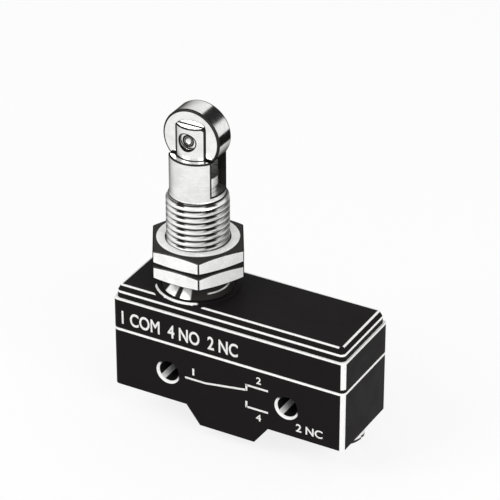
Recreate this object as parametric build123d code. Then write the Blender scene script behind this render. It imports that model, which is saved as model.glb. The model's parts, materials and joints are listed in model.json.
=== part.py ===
"""Micro switch: a snap-action switch worked by a roller plunger in a threaded panel-mount barrel.

Millimetres. The origin lies midway between the two mounting holes, at mid thickness.
+X runs along the case, away from the barrel, +Y through its thickness and +Z along the plunger.
"""
from build123d import *
from math import atan2, cos, degrees, pi, sin, sqrt
import os

# Case: heights are measured from the mounting holes
CASE_LENGTH = 49.2
CASE_WIDTH = 17.45
BASE_DEPTH = 6.0
BUMP_DEPTH = 3.85
BUMP_ROOT_LENGTH = 17.6
BUMP_FOOT_LENGTH = 11.7
PARTING_HEIGHT = 6.4
CORNER_RADIUS = 1.0
EDGE_BREAK = 0.25
SIDE_WALL = 1.7
END_WALL = 1.1
CHAMBER_FLOOR_HEIGHT = 4.4
CHAMBER_CORNER_RADIUS = 0.6
POCKET_SIDE_STEP = 1.825
POCKET_BOTTOM = -3.2

# Mounting holes
HOLE_SPACING = 25.4
HOLE_RADIUS = 2.1
HOLE_BREAK = 0.35
HOLE_COLUMN = 2.1

# Cover
COVER_HEIGHT = 6.7
COVER_CEILING = 1.6
LIP_DEPTH = 1.0
LIP_THICKNESS = 0.75
LIP_FROM_END = 6.1
LIP_CLEARANCE = 0.05
GUIDE_RADIUS = 2.6
GUIDE_DROP = 1.1

# Gasket between case and cover
GASKET_THICKNESS = 0.4
GASKET_WIDTH = 0.5

# Top plate
PLATE_STEP_HEIGHT = 1.3
PLATE_STEP_INSET = 0.45
PLATE_BEVEL_HEIGHT = 1.3
PLATE_BEVEL_INSET = 0.71
BOSS_RADIUS = 8.1
BOSS_RISE = 0.25
SEAT_CLEARANCE = 0.05

# Screws that hold the top plate from inside
PLATE_SCREW_FROM_END = 3.7
PLATE_SCREW_FROM_SIDE = 3.625
PLATE_SCREW_RADIUS = 1.0
PLATE_SCREW_REACH = 1.9
PLATE_SCREW_HEAD_RADIUS = 1.65
PLATE_SCREW_HEAD_HEIGHT = 1.0
SCREW_CLEARANCE = 0.03
SCREW_HOLE_CLEARANCE = 0.15
SCREW_SLOT_WIDTH = 0.5
SCREW_SLOT_DEPTH = 0.45

# Barrel: heights are measured from the top plate's face
BARREL_FROM_END = 13.7
FLANGE_RADIUS = 7.6
FLANGE_THICKNESS = 1.1
COLLAR_RADIUS = 7.0
NECK_RADIUS = 5.3
NECK_LENGTH = 0.5
THREAD_RADIUS = 5.98
THREAD_END = 18.8
THREAD_RUN_OUT = 1.2
TUBE_RADIUS = 5.3
TUBE_END = 28.05
RIM_BREAK = 0.25
SPRING_BORE_RADIUS = 4.65
SHOULDER_HEIGHT = 14.0
ROLLER_SLOT_WIDTH = 5.5
TRAVEL_GAP = 0.9

# Lock nuts
NUT_ACROSS_FLATS = 17.0
NUT_THICKNESS = 3.3
NUT_FACE_RADIUS = 7.78
NUT_CORNER_DROP = 0.45
NUT_GAP = 0.05
LOWER_NUT_HEIGHT = 3.5
NUT_BORE_BREAK = 0.35

# Plunger
PLUNGER_RADIUS = 4.0
PLUNGER_CLEARANCE = 0.05
PLUNGER_TRAVEL = 4.0
FLANGE_GAP = 0.1
PLUNGER_FLANGE_THICKNESS = 1.3
CROWN_THICKNESS = 2.7
SADDLE_HEIGHT = 23.8
CHEEK_TOP_HEIGHT = 34.6
CHEEK_CORNER_RADIUS = 0.8
PUSHER_BORE_RADIUS = 2.55

# Seal on the plunger
RING_HEIGHT = 19.1
RING_WIRE_RADIUS = 0.36
RING_RUNNING_GAP = 0.02
RING_GROOVE_WIDTH = 0.85
RING_SIDES = 8

# Roller and axle
ROLLER_RADIUS = 5.9
ROLLER_WIDTH = 4.7
ROLLER_EDGE_BREAK = 0.35
ROLLER_SIDE_GAP = 0.1
AXLE_HEIGHT = 31.65
AXLE_RADIUS = 1.2
AXLE_CLEARANCE = 0.05
AXLE_FIT = 0.02
AXLE_RECESS = 0.8
AXLE_RECESS_RADIUS = 1.7
AXLE_DIMPLE_RADIUS = 0.7

# Pusher and actuating pin
STEM_RADIUS = 1.2
STEM_CLEARANCE = 0.05
PUSHER_HEAD_RADIUS = 2.45
PUSHER_HEAD_THICKNESS = 1.2
PUSHER_HEAD_GAP = 0.15
PIN_JOINT_RISE = 0.5
PIN_HEAD_RADIUS = 2.2
PIN_HEAD_THICKNESS = 1.2
PIN_GAP = 0.3

# Small parts of the plunger
SPRING_SEAT_THICKNESS = 1.5
SPRING_SEAT_CLEARANCE = 0.05
DIAPHRAGM_RADIUS = 5.0
DIAPHRAGM_THICKNESS = 0.6
CLIP_THICKNESS = 0.7
CLIP_FIT = 0.01
CLIP_HOLE_RADIUS = 1.5
RETURN_WIRE_RADIUS = 0.35
RETURN_COIL_RADIUS = 3.85
RETURN_TURNS = 6
OVERTRAVEL_WIRE_RADIUS = 0.25
OVERTRAVEL_COIL_RADIUS = 1.95
OVERTRAVEL_TURNS = 5
SPRING_RUNS = 16
SPRING_SIDES = 6

# Terminals
TERMINAL_INSET = 4.4
TERMINAL_THICKNESS = 0.8
TERMINAL_WIDTH = 8.0
TERMINAL_RECESS = 0.65
TERMINAL_GAP = 0.1
TERMINAL_LENGTH = 7.0
LEG_WIDTH = 6.0
LEG_FROM_SCREW = 2.3
SCREW_RADIUS = 2.0
SCREW_REACH = 5.5
SCREW_HEAD_RADIUS = 4.0
SCREW_HEAD_HEIGHT = 2.5
SCREW_HEAD_BEVEL = 0.5
HEAD_SLOT_WIDTH = 1.0
HEAD_SLOT_DEPTH = 1.2
WASHER_THICKNESS = 0.7
WASHER_RING_RADIUS = 2.75
WASHER_TOOTH_RADIUS = 3.35
WASHER_TEETH = 10

# Snap mechanism
BLADE_THICKNESS = 0.2
BLADE_WIDTH = 6.0
BLADE_HEIGHT = 7.7
BLADE_TAIL = 4.2
BLADE_NOSE = 2.0
BLADE_EDGE = 1.1
TONGUE_WIDTH = 2.2
TONGUE_FROM_CONTACT = 6.2
TONGUE_BOW = 1.0
FULCRUM_FROM_END = 7.6
ANCHOR_FROM_END = 5.2
ANCHOR_RADIUS = 0.9
ANCHOR_HEAD_RADIUS = 1.6
ANCHOR_HEAD_THICKNESS = 0.5
ANCHOR_GAP = 0.1
ANVIL_LENGTH = 2.2
ANVIL_FROM_COLUMN = 2.1
ANVIL_GAP = 0.3
ANVIL_NOTCH = 0.8
CONTACT_FROM_END = 6.4
CONTACT_RADIUS = 1.9
CONTACT_THICKNESS = 0.6
CONTACT_GAP = 0.5
CONTACT_TOUCH = 0.05
CONTACT_BEVEL = 0.2
MOVING_CONTACT_RISE = 1.1
NC_ARM_RISE = 1.15
NC_ARM_PAST_CONTACT = 2.3
NO_ARM_PAST_CONTACT = 2.2

# Levels and places that follow
Z_BASE = -BASE_DEPTH
Z_BUMP = Z_BASE - BUMP_DEPTH
Z_PARTING = PARTING_HEIGHT
Z_COVER = Z_PARTING + COVER_HEIGHT
Z_CEILING = Z_COVER - COVER_CEILING
Z_PLATE = Z_COVER + PLATE_STEP_HEIGHT + PLATE_BEVEL_HEIGHT
Z_SHOULDER = Z_PLATE + SHOULDER_HEIGHT
Z_AXLE = Z_PLATE + AXLE_HEIGHT
Z_SADDLE = Z_PLATE + SADDLE_HEIGHT
Z_SLOT_FLOOR = Z_AXLE - ROLLER_RADIUS - PLUNGER_TRAVEL - TRAVEL_GAP
Z_PLUNGER = Z_SHOULDER - FLANGE_GAP - PLUNGER_FLANGE_THICKNESS
Z_PUSHER_HEAD = Z_PLUNGER + CLIP_THICKNESS + PUSHER_HEAD_GAP
Z_PIN_TOP = Z_COVER + PIN_JOINT_RISE
Z_BLADE_TOP = BLADE_HEIGHT + BLADE_THICKNESS
Z_PIN = Z_BLADE_TOP + PIN_GAP
Z_SPRING_SEAT = Z_COVER + SPRING_SEAT_THICKNESS
Z_CONTACT_TOP = Z_BLADE_TOP + MOVING_CONTACT_RISE
Z_CONTACT_FOOT = BLADE_HEIGHT - CONTACT_THICKNESS
Z_NC_ARM = Z_CONTACT_TOP + CONTACT_TOUCH + NC_ARM_RISE
Z_NO_ARM_TOP = CHAMBER_FLOOR_HEIGHT + TERMINAL_THICKNESS
X_BARREL = BARREL_FROM_END - CASE_LENGTH / 2
X_END_TERMINAL = CASE_LENGTH / 2 - TERMINAL_INSET
BARREL_AXIS = Pos(X_BARREL, 0, 0)
INNER_LENGTH = CASE_LENGTH - 2 * END_WALL
INNER_WIDTH = CASE_WIDTH - 2 * SIDE_WALL
PLATE_SCREW_X = CASE_LENGTH / 2 - PLATE_SCREW_FROM_END
PLATE_SCREW_Y = CASE_WIDTH / 2 - PLATE_SCREW_FROM_SIDE
X_FULCRUM = FULCRUM_FROM_END - CASE_LENGTH / 2
X_ANCHOR = ANCHOR_FROM_END - CASE_LENGTH / 2
X_CONTACT = CASE_LENGTH / 2 - CONTACT_FROM_END
X_TONGUE = X_CONTACT - TONGUE_FROM_CONTACT
COLUMN_RADIUS = HOLE_RADIUS + HOLE_COLUMN
X_ANVIL = COLUMN_RADIUS - HOLE_SPACING / 2 + ANVIL_FROM_COLUMN
X_TONGUE_END = X_ANVIL + ANVIL_LENGTH - ANVIL_NOTCH
PLUNGER_BORE_RADIUS = PLUNGER_RADIUS + PLUNGER_CLEARANCE
GUIDE_HOLE_RADIUS = STEM_RADIUS + STEM_CLEARANCE


def disc(radius, bottom, top):
    """Upright cylinder between two heights."""
    return Pos(0, 0, bottom) * Cylinder(radius, top - bottom, align=(Align.CENTER, Align.CENTER, Align.MIN))


def block(x0, x1, width, bottom, top):
    """Box between two places along X and two heights, centred in Y."""
    return Pos((x0 + x1) / 2, 0, (bottom + top) / 2) * Box(x1 - x0, width, top - bottom)


def rounded_block(length, width, bottom, top, radius):
    """Upright prism with a rounded rectangular outline."""
    return Pos(0, 0, bottom) * extrude(RectangleRounded(length, width, radius), top - bottom)


def turned(points):
    """Solid turned about Z from an outline of (radius, height) points."""
    outline = make_face(Polyline(*points, close=True))
    return revolve(Plane.XZ * outline, Axis.Z)


def side_cut(radius, x, z, length):
    """Cylinder along Y."""
    return Pos(x, 0, z) * Rot(90, 0, 0) * Cylinder(radius, length)


def outer_edges(solid, top):
    """Edges round the highest or the lowest face."""
    face = solid.faces().sort_by(Axis.Z)[-1 if top else 0]
    return face.outer_wire().edges()


def mounting_hole(x):
    """Through hole along Y with a broken edge at both faces."""
    half = CASE_WIDTH / 2
    hole = side_cut(HOLE_RADIUS, x, 0, CASE_WIDTH + 2)
    cone = Cone(HOLE_RADIUS + 2 * HOLE_BREAK, HOLE_RADIUS, 2 * HOLE_BREAK)
    front = Pos(x, -half, 0) * Rot(-90, 0, 0) * cone
    back = Pos(x, half, 0) * Rot(90, 0, 0) * cone
    return hole + front + back


def leg_place(side):
    """Start of an upright terminal leg along X, from the screw's axis, on the given side of it."""
    return side * (LEG_FROM_SCREW + TERMINAL_THICKNESS / 2) - TERMINAL_THICKNESS / 2


def terminal_seat(x, face, leg_side):
    """Recess for a terminal, with room for its screw and a slot for its leg."""
    half = TERMINAL_LENGTH / 2 + TERMINAL_GAP
    ceiling = face + TERMINAL_RECESS + TERMINAL_THICKNESS
    recess = block(x - half, x + half, TERMINAL_WIDTH + 2 * TERMINAL_GAP, face - 1, ceiling)
    bore = Pos(x, 0, 0) * disc(SCREW_RADIUS + SCREW_HOLE_CLEARANCE, ceiling - 1,
                               face + TERMINAL_RECESS + SCREW_REACH + SCREW_HOLE_CLEARANCE)
    start = x + leg_place(leg_side)
    slot = block(start - TERMINAL_GAP, start + TERMINAL_THICKNESS + TERMINAL_GAP,
                 LEG_WIDTH + 2 * TERMINAL_GAP, ceiling - 1, CHAMBER_FLOOR_HEIGHT + 1)
    return recess + bore + slot


def case():
    """Lower housing: chamber, pockets between the hole columns, and the seats of three terminals."""
    body = rounded_block(CASE_LENGTH, CASE_WIDTH, Z_BASE, Z_PARTING, CORNER_RADIUS)
    body = chamfer(outer_edges(body, True), EDGE_BREAK)
    root, foot = BUMP_ROOT_LENGTH / 2, BUMP_FOOT_LENGTH / 2
    bump = make_face(Polyline((-root, Z_BASE), (root, Z_BASE), (foot, Z_BUMP), (-foot, Z_BUMP), close=True))
    body += extrude(Plane.XZ * bump, CASE_WIDTH / 2, both=True)
    body -= rounded_block(INNER_LENGTH, INNER_WIDTH, CHAMBER_FLOOR_HEIGHT, Z_PARTING + 1, CHAMBER_CORNER_RADIUS)
    pocket_width = INNER_WIDTH - 2 * POCKET_SIDE_STEP
    hole_x = HOLE_SPACING / 2
    inner = hole_x - COLUMN_RADIUS
    body -= block(-inner, inner, pocket_width, POCKET_BOTTOM, CHAMBER_FLOOR_HEIGHT + 1)
    for side in (-1, 1):
        near, far = sorted((side * (hole_x + COLUMN_RADIUS), side * INNER_LENGTH / 2))
        body -= block(near, far, pocket_width, POCKET_BOTTOM, CHAMBER_FLOOR_HEIGHT + 1)
        body -= mounting_hole(side * hole_x)
        body -= terminal_seat(side * X_END_TERMINAL, Z_BASE, side)
    body -= terminal_seat(0, Z_BUMP, 1)
    return body - gasket_outline(Z_PARTING + 1)


def gasket_outline(top):
    """Prism that the gasket and its rebate share."""
    grow = 2 * GASKET_WIDTH
    return rounded_block(INNER_LENGTH + grow, INNER_WIDTH + grow, Z_PARTING - GASKET_THICKNESS, top,
                         CHAMBER_CORNER_RADIUS)


def gasket():
    """Flat rubber ring in the rebate round the chamber's mouth."""
    mouth = rounded_block(INNER_LENGTH, INNER_WIDTH, CHAMBER_FLOOR_HEIGHT, Z_PARTING + 1, CHAMBER_CORNER_RADIUS)
    return gasket_outline(Z_PARTING) - mouth


def plate_screw_places():
    """Places of the four screws that hold the top plate."""
    return [(x, y) for x in (-PLATE_SCREW_X, PLATE_SCREW_X) for y in (-PLATE_SCREW_Y, PLATE_SCREW_Y)]


def cover():
    """Upper housing, with lips that drop into the case and a guide for the actuating pin."""
    body = rounded_block(CASE_LENGTH, CASE_WIDTH, Z_PARTING, Z_COVER, CORNER_RADIUS)
    body = chamfer(outer_edges(body, False), EDGE_BREAK)
    body = chamfer(outer_edges(body, True), EDGE_BREAK / 2)
    body -= rounded_block(INNER_LENGTH, INNER_WIDTH, Z_PARTING - 1, Z_CEILING, CHAMBER_CORNER_RADIUS)
    for side in (-1, 1):
        body += cover_lip(side)
    body += BARREL_AXIS * disc(GUIDE_RADIUS, Z_CEILING - GUIDE_DROP, Z_COVER)
    body -= BARREL_AXIS * disc(GUIDE_HOLE_RADIUS, Z_CEILING - GUIDE_DROP - 1, Z_COVER + 1)
    seat = DIAPHRAGM_RADIUS + SEAT_CLEARANCE
    body -= BARREL_AXIS * disc(seat, Z_COVER - DIAPHRAGM_THICKNESS, Z_COVER + 1)
    for x, y in plate_screw_places():
        body -= Pos(x, y, 0) * disc(PLATE_SCREW_RADIUS + SCREW_HOLE_CLEARANCE, Z_CEILING - 1, Z_COVER + 1)
    return body


def cover_lip(side):
    """Lip along one side: thick at its root on the wall, and clear of the case below."""
    lip_y = INNER_WIDTH / 2 - LIP_CLEARANCE - LIP_THICKNESS / 2
    root_thickness = LIP_CLEARANCE + LIP_THICKNESS
    length = CASE_LENGTH - 2 * LIP_FROM_END
    lip = Pos(0, side * lip_y, Z_PARTING) * Box(length, LIP_THICKNESS, 2 * LIP_DEPTH)
    root_y = side * (INNER_WIDTH - root_thickness) / 2
    return lip + Pos(0, root_y, Z_PARTING + LIP_DEPTH / 2) * Box(length, root_thickness, LIP_DEPTH)


def top_plate():
    """Stepped and bevelled top plate with a round boss that frames the barrel's collar."""
    length, width = CASE_LENGTH - 2 * PLATE_STEP_INSET, CASE_WIDTH - 2 * PLATE_STEP_INSET
    step_top = Z_COVER + PLATE_STEP_HEIGHT
    radius = CORNER_RADIUS
    plate = rounded_block(length, width, Z_COVER, step_top, radius)
    outline = Pos(0, 0, step_top) * RectangleRounded(length, width, radius)
    plate += extrude(outline, PLATE_BEVEL_HEIGHT, taper=degrees(atan2(PLATE_BEVEL_INSET, PLATE_BEVEL_HEIGHT)))
    boss = disc(BOSS_RADIUS, step_top, Z_PLATE + BOSS_RISE)
    plate += BARREL_AXIS * chamfer(outer_edges(boss, True), BOSS_RISE / 2)
    plate -= BARREL_AXIS * disc(COLLAR_RADIUS + SEAT_CLEARANCE, Z_COVER - 1, Z_PLATE + 1)
    plate -= BARREL_AXIS * disc(FLANGE_RADIUS + SEAT_CLEARANCE, Z_COVER - 1, Z_COVER + FLANGE_THICKNESS)
    for x, y in plate_screw_places():
        plate -= Pos(x, y, 0) * disc(PLATE_SCREW_RADIUS + SCREW_CLEARANCE, Z_COVER - 1,
                                     Z_COVER + PLATE_SCREW_REACH + SCREW_HOLE_CLEARANCE)
    return plate


def plate_screw():
    """Small cheese-head screw, driven upwards from inside the cover."""
    shank = disc(PLATE_SCREW_RADIUS, Z_CEILING, Z_COVER + PLATE_SCREW_REACH)
    foot = Z_CEILING - PLATE_SCREW_HEAD_HEIGHT
    screw = shank + disc(PLATE_SCREW_HEAD_RADIUS, foot, Z_CEILING)
    slot = block(-PLATE_SCREW_HEAD_RADIUS - 1, PLATE_SCREW_HEAD_RADIUS + 1, SCREW_SLOT_WIDTH,
                 foot - 1, foot + SCREW_SLOT_DEPTH)
    return screw - slot


def barrel():
    """Threaded barrel: flange, conical collar, thread at its full radius, and slotted tube."""
    thread_step = THREAD_RADIUS - NECK_RADIUS
    neck_foot = Z_PLATE + COLLAR_RADIUS - NECK_RADIUS
    thread_foot = neck_foot + NECK_LENGTH
    rim = Z_PLATE + TUBE_END
    body = turned([
        (SPRING_BORE_RADIUS, Z_COVER), (FLANGE_RADIUS, Z_COVER), (FLANGE_RADIUS, Z_COVER + FLANGE_THICKNESS),
        (COLLAR_RADIUS, Z_COVER + FLANGE_THICKNESS), (COLLAR_RADIUS, Z_PLATE), (NECK_RADIUS, neck_foot),
        (NECK_RADIUS, thread_foot), (THREAD_RADIUS, thread_foot + thread_step),
        (THREAD_RADIUS, Z_PLATE + THREAD_END), (TUBE_RADIUS, Z_PLATE + THREAD_END + THREAD_RUN_OUT),
        (TUBE_RADIUS, rim - RIM_BREAK), (TUBE_RADIUS - RIM_BREAK, rim), (PLUNGER_BORE_RADIUS, rim),
        (PLUNGER_BORE_RADIUS, Z_SHOULDER), (SPRING_BORE_RADIUS, Z_SHOULDER),
    ])
    body -= block(-2 * TUBE_RADIUS, 2 * TUBE_RADIUS, ROLLER_SLOT_WIDTH, Z_SLOT_FLOOR, rim + 1)
    return BARREL_AXIS * body


def lock_nut(bottom):
    """Thin hexagon nut, bevelled from its round faces down to the corners."""
    corner = NUT_ACROSS_FLATS / 2 / cos(pi / 6)
    hexagon = Pos(0, 0, bottom) * extrude(RegularPolygon(corner, 6), NUT_THICKNESS)
    top, drop = bottom + NUT_THICKNESS, NUT_CORNER_DROP
    bore = THREAD_RADIUS + PLUNGER_CLEARANCE
    ring = turned([
        (bore + NUT_BORE_BREAK, bottom), (NUT_FACE_RADIUS, bottom), (corner, bottom + drop),
        (corner, top - drop), (NUT_FACE_RADIUS, top), (bore + NUT_BORE_BREAK, top),
        (bore, top - NUT_BORE_BREAK), (bore, bottom + NUT_BORE_BREAK),
    ])
    return BARREL_AXIS * (hexagon & ring)


def plunger():
    """Round plunger with a stop flange below and two cheeks that hold the roller."""
    cheek_top = Z_PLATE + CHEEK_TOP_HEIGHT
    body = disc(PLUNGER_RADIUS, Z_PLUNGER, cheek_top)
    body += disc(SPRING_BORE_RADIUS - PLUNGER_CLEARANCE, Z_PLUNGER, Z_PLUNGER + PLUNGER_FLANGE_THICKNESS)
    body -= disc(PUSHER_BORE_RADIUS, Z_PLUNGER - 1, Z_SADDLE - CROWN_THICKNESS)
    groove_bottom = Z_PLATE + RING_HEIGHT - RING_GROOVE_WIDTH / 2
    groove = disc(PLUNGER_RADIUS + 1, groove_bottom, groove_bottom + RING_GROOVE_WIDTH)
    body -= groove - disc(PLUNGER_BORE_RADIUS - RING_RUNNING_GAP - 2 * RING_WIRE_RADIUS,
                          groove_bottom - 1, groove_bottom + RING_GROOVE_WIDTH + 1)
    slot = ROLLER_WIDTH + 2 * ROLLER_SIDE_GAP
    body -= block(-2 * PLUNGER_RADIUS, 2 * PLUNGER_RADIUS, slot, Z_SADDLE, cheek_top + 1)
    cheek_width = 2 * sqrt(PLUNGER_RADIUS ** 2 - (slot / 2) ** 2)
    body &= cheek_gauge(cheek_width, cheek_top)
    reach = 2 * PLUNGER_RADIUS
    body -= side_cut(AXLE_RADIUS + AXLE_FIT, 0, Z_AXLE, reach + 2)
    recess = side_cut(AXLE_RECESS_RADIUS, 0, Z_AXLE, reach + 2)
    body -= recess - side_cut(AXLE_RECESS_RADIUS + 1, 0, Z_AXLE, reach - 2 * AXLE_RECESS)
    return BARREL_AXIS * body


def cheek_gauge(width, top):
    """Room that the plunger fills: its full body below the saddle and rounded cheeks above."""
    height = top - Z_SADDLE
    face = Pos(0, (top + Z_SADDLE) / 2 - CHEEK_CORNER_RADIUS) * RectangleRounded(
        width, height + 2 * CHEEK_CORNER_RADIUS, CHEEK_CORNER_RADIUS)
    cheeks = extrude(Plane.XZ * face, 2 * PLUNGER_RADIUS, both=True)
    return cheeks + disc(SPRING_BORE_RADIUS, Z_PLUNGER - 1, Z_SADDLE)


def plunger_ring():
    """Rubber ring in the plunger's groove."""
    centre = PLUNGER_BORE_RADIUS - RING_RUNNING_GAP - RING_WIRE_RADIUS
    section = Plane.XZ * Pos(centre, Z_PLATE + RING_HEIGHT) * RegularPolygon(RING_WIRE_RADIUS, RING_SIDES)
    return BARREL_AXIS * revolve(section, Axis.Z)


def roller():
    """Hardened roller with broken edges."""
    wheel = Rot(90, 0, 0) * Cylinder(ROLLER_RADIUS, ROLLER_WIDTH)
    wheel = chamfer(wheel.edges().filter_by(GeomType.CIRCLE), ROLLER_EDGE_BREAK)
    wheel -= side_cut(AXLE_RADIUS + AXLE_CLEARANCE, 0, 0, ROLLER_WIDTH + 2)
    return Pos(X_BARREL, 0, Z_AXLE) * wheel


def roller_axle():
    """Axle pin, staked at both ends."""
    half = PLUNGER_RADIUS - AXLE_RECESS
    pin = Rot(90, 0, 0) * Cylinder(AXLE_RADIUS, 2 * half)
    for side in (-1, 1):
        dimple = Cone(0, 2 * AXLE_DIMPLE_RADIUS, 2 * AXLE_DIMPLE_RADIUS)
        pin -= Pos(0, side * half, 0) * Rot(-side * 90, 0, 0) * dimple
    return Pos(X_BARREL, 0, Z_AXLE) * pin


def pusher():
    """Headed rod that carries the plunger's force to the actuating pin."""
    rod = disc(STEM_RADIUS, Z_PIN_TOP, Z_PUSHER_HEAD)
    return BARREL_AXIS * (rod + disc(PUSHER_HEAD_RADIUS, Z_PUSHER_HEAD, Z_PUSHER_HEAD + PUSHER_HEAD_THICKNESS))


def actuating_pin():
    """Moulded pin that passes through the cover and presses the snap blade."""
    head = disc(PIN_HEAD_RADIUS, Z_PIN, Z_PIN + PIN_HEAD_THICKNESS)
    head = chamfer(outer_edges(head, False), CONTACT_BEVEL)
    return BARREL_AXIS * (head + disc(STEM_RADIUS, Z_PIN + PIN_HEAD_THICKNESS, Z_PIN_TOP))


def pusher_clip():
    """Ring pressed into the plunger's mouth, which keeps the pusher in."""
    ring = disc(PUSHER_BORE_RADIUS - CLIP_FIT, Z_PLUNGER, Z_PLUNGER + CLIP_THICKNESS)
    return BARREL_AXIS * (ring - disc(CLIP_HOLE_RADIUS, Z_PLUNGER - 1, Z_PLUNGER + CLIP_THICKNESS + 1))


def spring_seat():
    """Washer that carries the return spring at the barrel's foot."""
    seat = disc(SPRING_BORE_RADIUS - SPRING_SEAT_CLEARANCE, Z_COVER, Z_SPRING_SEAT)
    return BARREL_AXIS * (seat - disc(CLIP_HOLE_RADIUS, Z_COVER - 1, Z_SPRING_SEAT + 1))


def diaphragm():
    """Rubber disc that seals the actuating pin."""
    bottom = Z_COVER - DIAPHRAGM_THICKNESS
    sheet = disc(DIAPHRAGM_RADIUS, bottom, Z_COVER)
    return BARREL_AXIS * (sheet - disc(GUIDE_HOLE_RADIUS, bottom - 1, Z_COVER + 1))


def coil_spring(coil_radius, wire_radius, turns, bottom, top):
    """Compression spring between two heights, its wire bent in short straight runs."""
    height = top - bottom - 2 * wire_radius
    count = turns * SPRING_RUNS
    turn = 2 * pi / SPRING_RUNS
    points = [(coil_radius * cos(i * turn), coil_radius * sin(i * turn), i * height / count)
              for i in range(count + 1)]
    path = Polyline(*points)
    section = Plane(path @ 0, z_dir=path % 0) * RegularPolygon(wire_radius, SPRING_SIDES)
    spring = sweep(section, path, transition=Transition.RIGHT)
    return BARREL_AXIS * Pos(0, 0, bottom + wire_radius) * spring


def terminal(x, face, leg_side, arm_top, arm_end):
    """Bent brass terminal: tapped plate, upright leg and an arm inside the chamber."""
    half = TERMINAL_LENGTH / 2
    low = face + TERMINAL_RECESS
    start = x + leg_place(leg_side)
    end = start + TERMINAL_THICKNESS
    plate = block(x - half, x + half, TERMINAL_WIDTH, low, low + TERMINAL_THICKNESS)
    plate -= Pos(x, 0, 0) * disc(SCREW_RADIUS + SCREW_CLEARANCE, low - 1, low + TERMINAL_THICKNESS + 1)
    leg = block(start, end, LEG_WIDTH, low, arm_top)
    arm = block(min(start, arm_end), max(end, arm_end), LEG_WIDTH, arm_top - TERMINAL_THICKNESS, arm_top)
    return plate + leg + arm


def com_terminal():
    """Common terminal: carries the blade's anchor, and the anvil on a narrow tongue."""
    body = terminal(-X_END_TERMINAL, Z_BASE, -1, BLADE_HEIGHT, X_FULCRUM)
    bore = Pos(X_ANCHOR, 0, 0) * disc(ANCHOR_RADIUS + SCREW_CLEARANCE, Z_BASE, Z_CEILING)
    return body - bore


def fixed_contact(bottom, top, crown_up):
    """Round silver contact, bevelled at its working face."""
    button = disc(CONTACT_RADIUS, bottom, top)
    return Pos(X_CONTACT, 0, 0) * chamfer(outer_edges(button, crown_up), CONTACT_BEVEL)


def no_terminal():
    """Normally open terminal, which runs from the bump to below the moving contact."""
    return terminal(0, Z_BUMP, 1, Z_NO_ARM_TOP, X_CONTACT + NO_ARM_PAST_CONTACT)


def nc_terminal():
    """Normally closed terminal, which runs from the far end to above the moving contact."""
    return terminal(X_END_TERMINAL, Z_BASE, 1, Z_NC_ARM + TERMINAL_THICKNESS,
                    X_CONTACT - NC_ARM_PAST_CONTACT)


def anvil():
    """Post on the pocket's floor whose notch takes the end of the blade's tongue."""
    top = BLADE_HEIGHT - ANVIL_GAP
    end = X_ANVIL + ANVIL_LENGTH
    post = block(X_ANVIL, end, LEG_WIDTH, POCKET_BOTTOM, top)
    return post - block(X_TONGUE_END, end + 1, TONGUE_WIDTH + 2 * ANVIL_GAP, top - ANVIL_GAP, top + 1)


def snap_blade():
    """Spring blade with two side legs and a bowed tongue between them."""
    nose = X_CONTACT + BLADE_NOSE
    blade = block(X_FULCRUM - BLADE_TAIL, nose, BLADE_WIDTH, BLADE_HEIGHT, Z_BLADE_TOP)
    blade = fillet(blade.edges().filter_by(Axis.Z), BLADE_EDGE)
    window = BLADE_WIDTH - 2 * BLADE_EDGE
    blade -= block(X_TONGUE_END, X_TONGUE, window, BLADE_HEIGHT - 1, Z_BLADE_TOP + 1)
    blade += tongue(X_TONGUE_END + ANVIL_GAP, X_TONGUE)
    blade -= Pos(X_ANCHOR, 0, 0) * disc(ANCHOR_RADIUS, Z_BASE, Z_CEILING)
    return blade - Pos(X_CONTACT, 0, 0) * disc(ANCHOR_RADIUS, Z_BASE, Z_CEILING)


def tongue(x0, x1):
    """Bowed strip between two places along X."""
    middle = (x0 + x1) / 2
    low, thick = BLADE_HEIGHT, BLADE_THICKNESS
    under = ThreePointArc((x0, low), (middle, low - TONGUE_BOW), (x1, low))
    over = ThreePointArc((x1, low + thick), (middle, low + thick - TONGUE_BOW), (x0, low + thick))
    ends = [Line((x1, low), (x1, low + thick)), Line((x0, low + thick), (x0, low))]
    face = make_face([under, ends[0], over, ends[1]])
    return extrude(Plane.XZ * face, TONGUE_WIDTH / 2, both=True)


def blade_rivet():
    """Rivet that anchors the blade on the common terminal."""
    shank_foot = BLADE_HEIGHT - TERMINAL_THICKNESS - ANCHOR_GAP
    rivet = disc(ANCHOR_RADIUS, shank_foot - ANCHOR_HEAD_THICKNESS, Z_BLADE_TOP + ANCHOR_HEAD_THICKNESS)
    rivet += disc(ANCHOR_HEAD_RADIUS, shank_foot - ANCHOR_HEAD_THICKNESS, shank_foot)
    rivet += disc(ANCHOR_HEAD_RADIUS, Z_BLADE_TOP, Z_BLADE_TOP + ANCHOR_HEAD_THICKNESS)
    return Pos(X_ANCHOR, 0, 0) * rivet


def moving_contact():
    """Double-faced contact riveted through the blade's nose."""
    lower = disc(CONTACT_RADIUS, Z_CONTACT_FOOT, BLADE_HEIGHT)
    lower = chamfer(outer_edges(lower, False), CONTACT_BEVEL)
    upper = disc(CONTACT_RADIUS, Z_BLADE_TOP, Z_CONTACT_TOP)
    upper = chamfer(outer_edges(upper, True), CONTACT_BEVEL)
    return Pos(X_CONTACT, 0, 0) * (lower + disc(ANCHOR_RADIUS, BLADE_HEIGHT, Z_BLADE_TOP) + upper)


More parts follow.
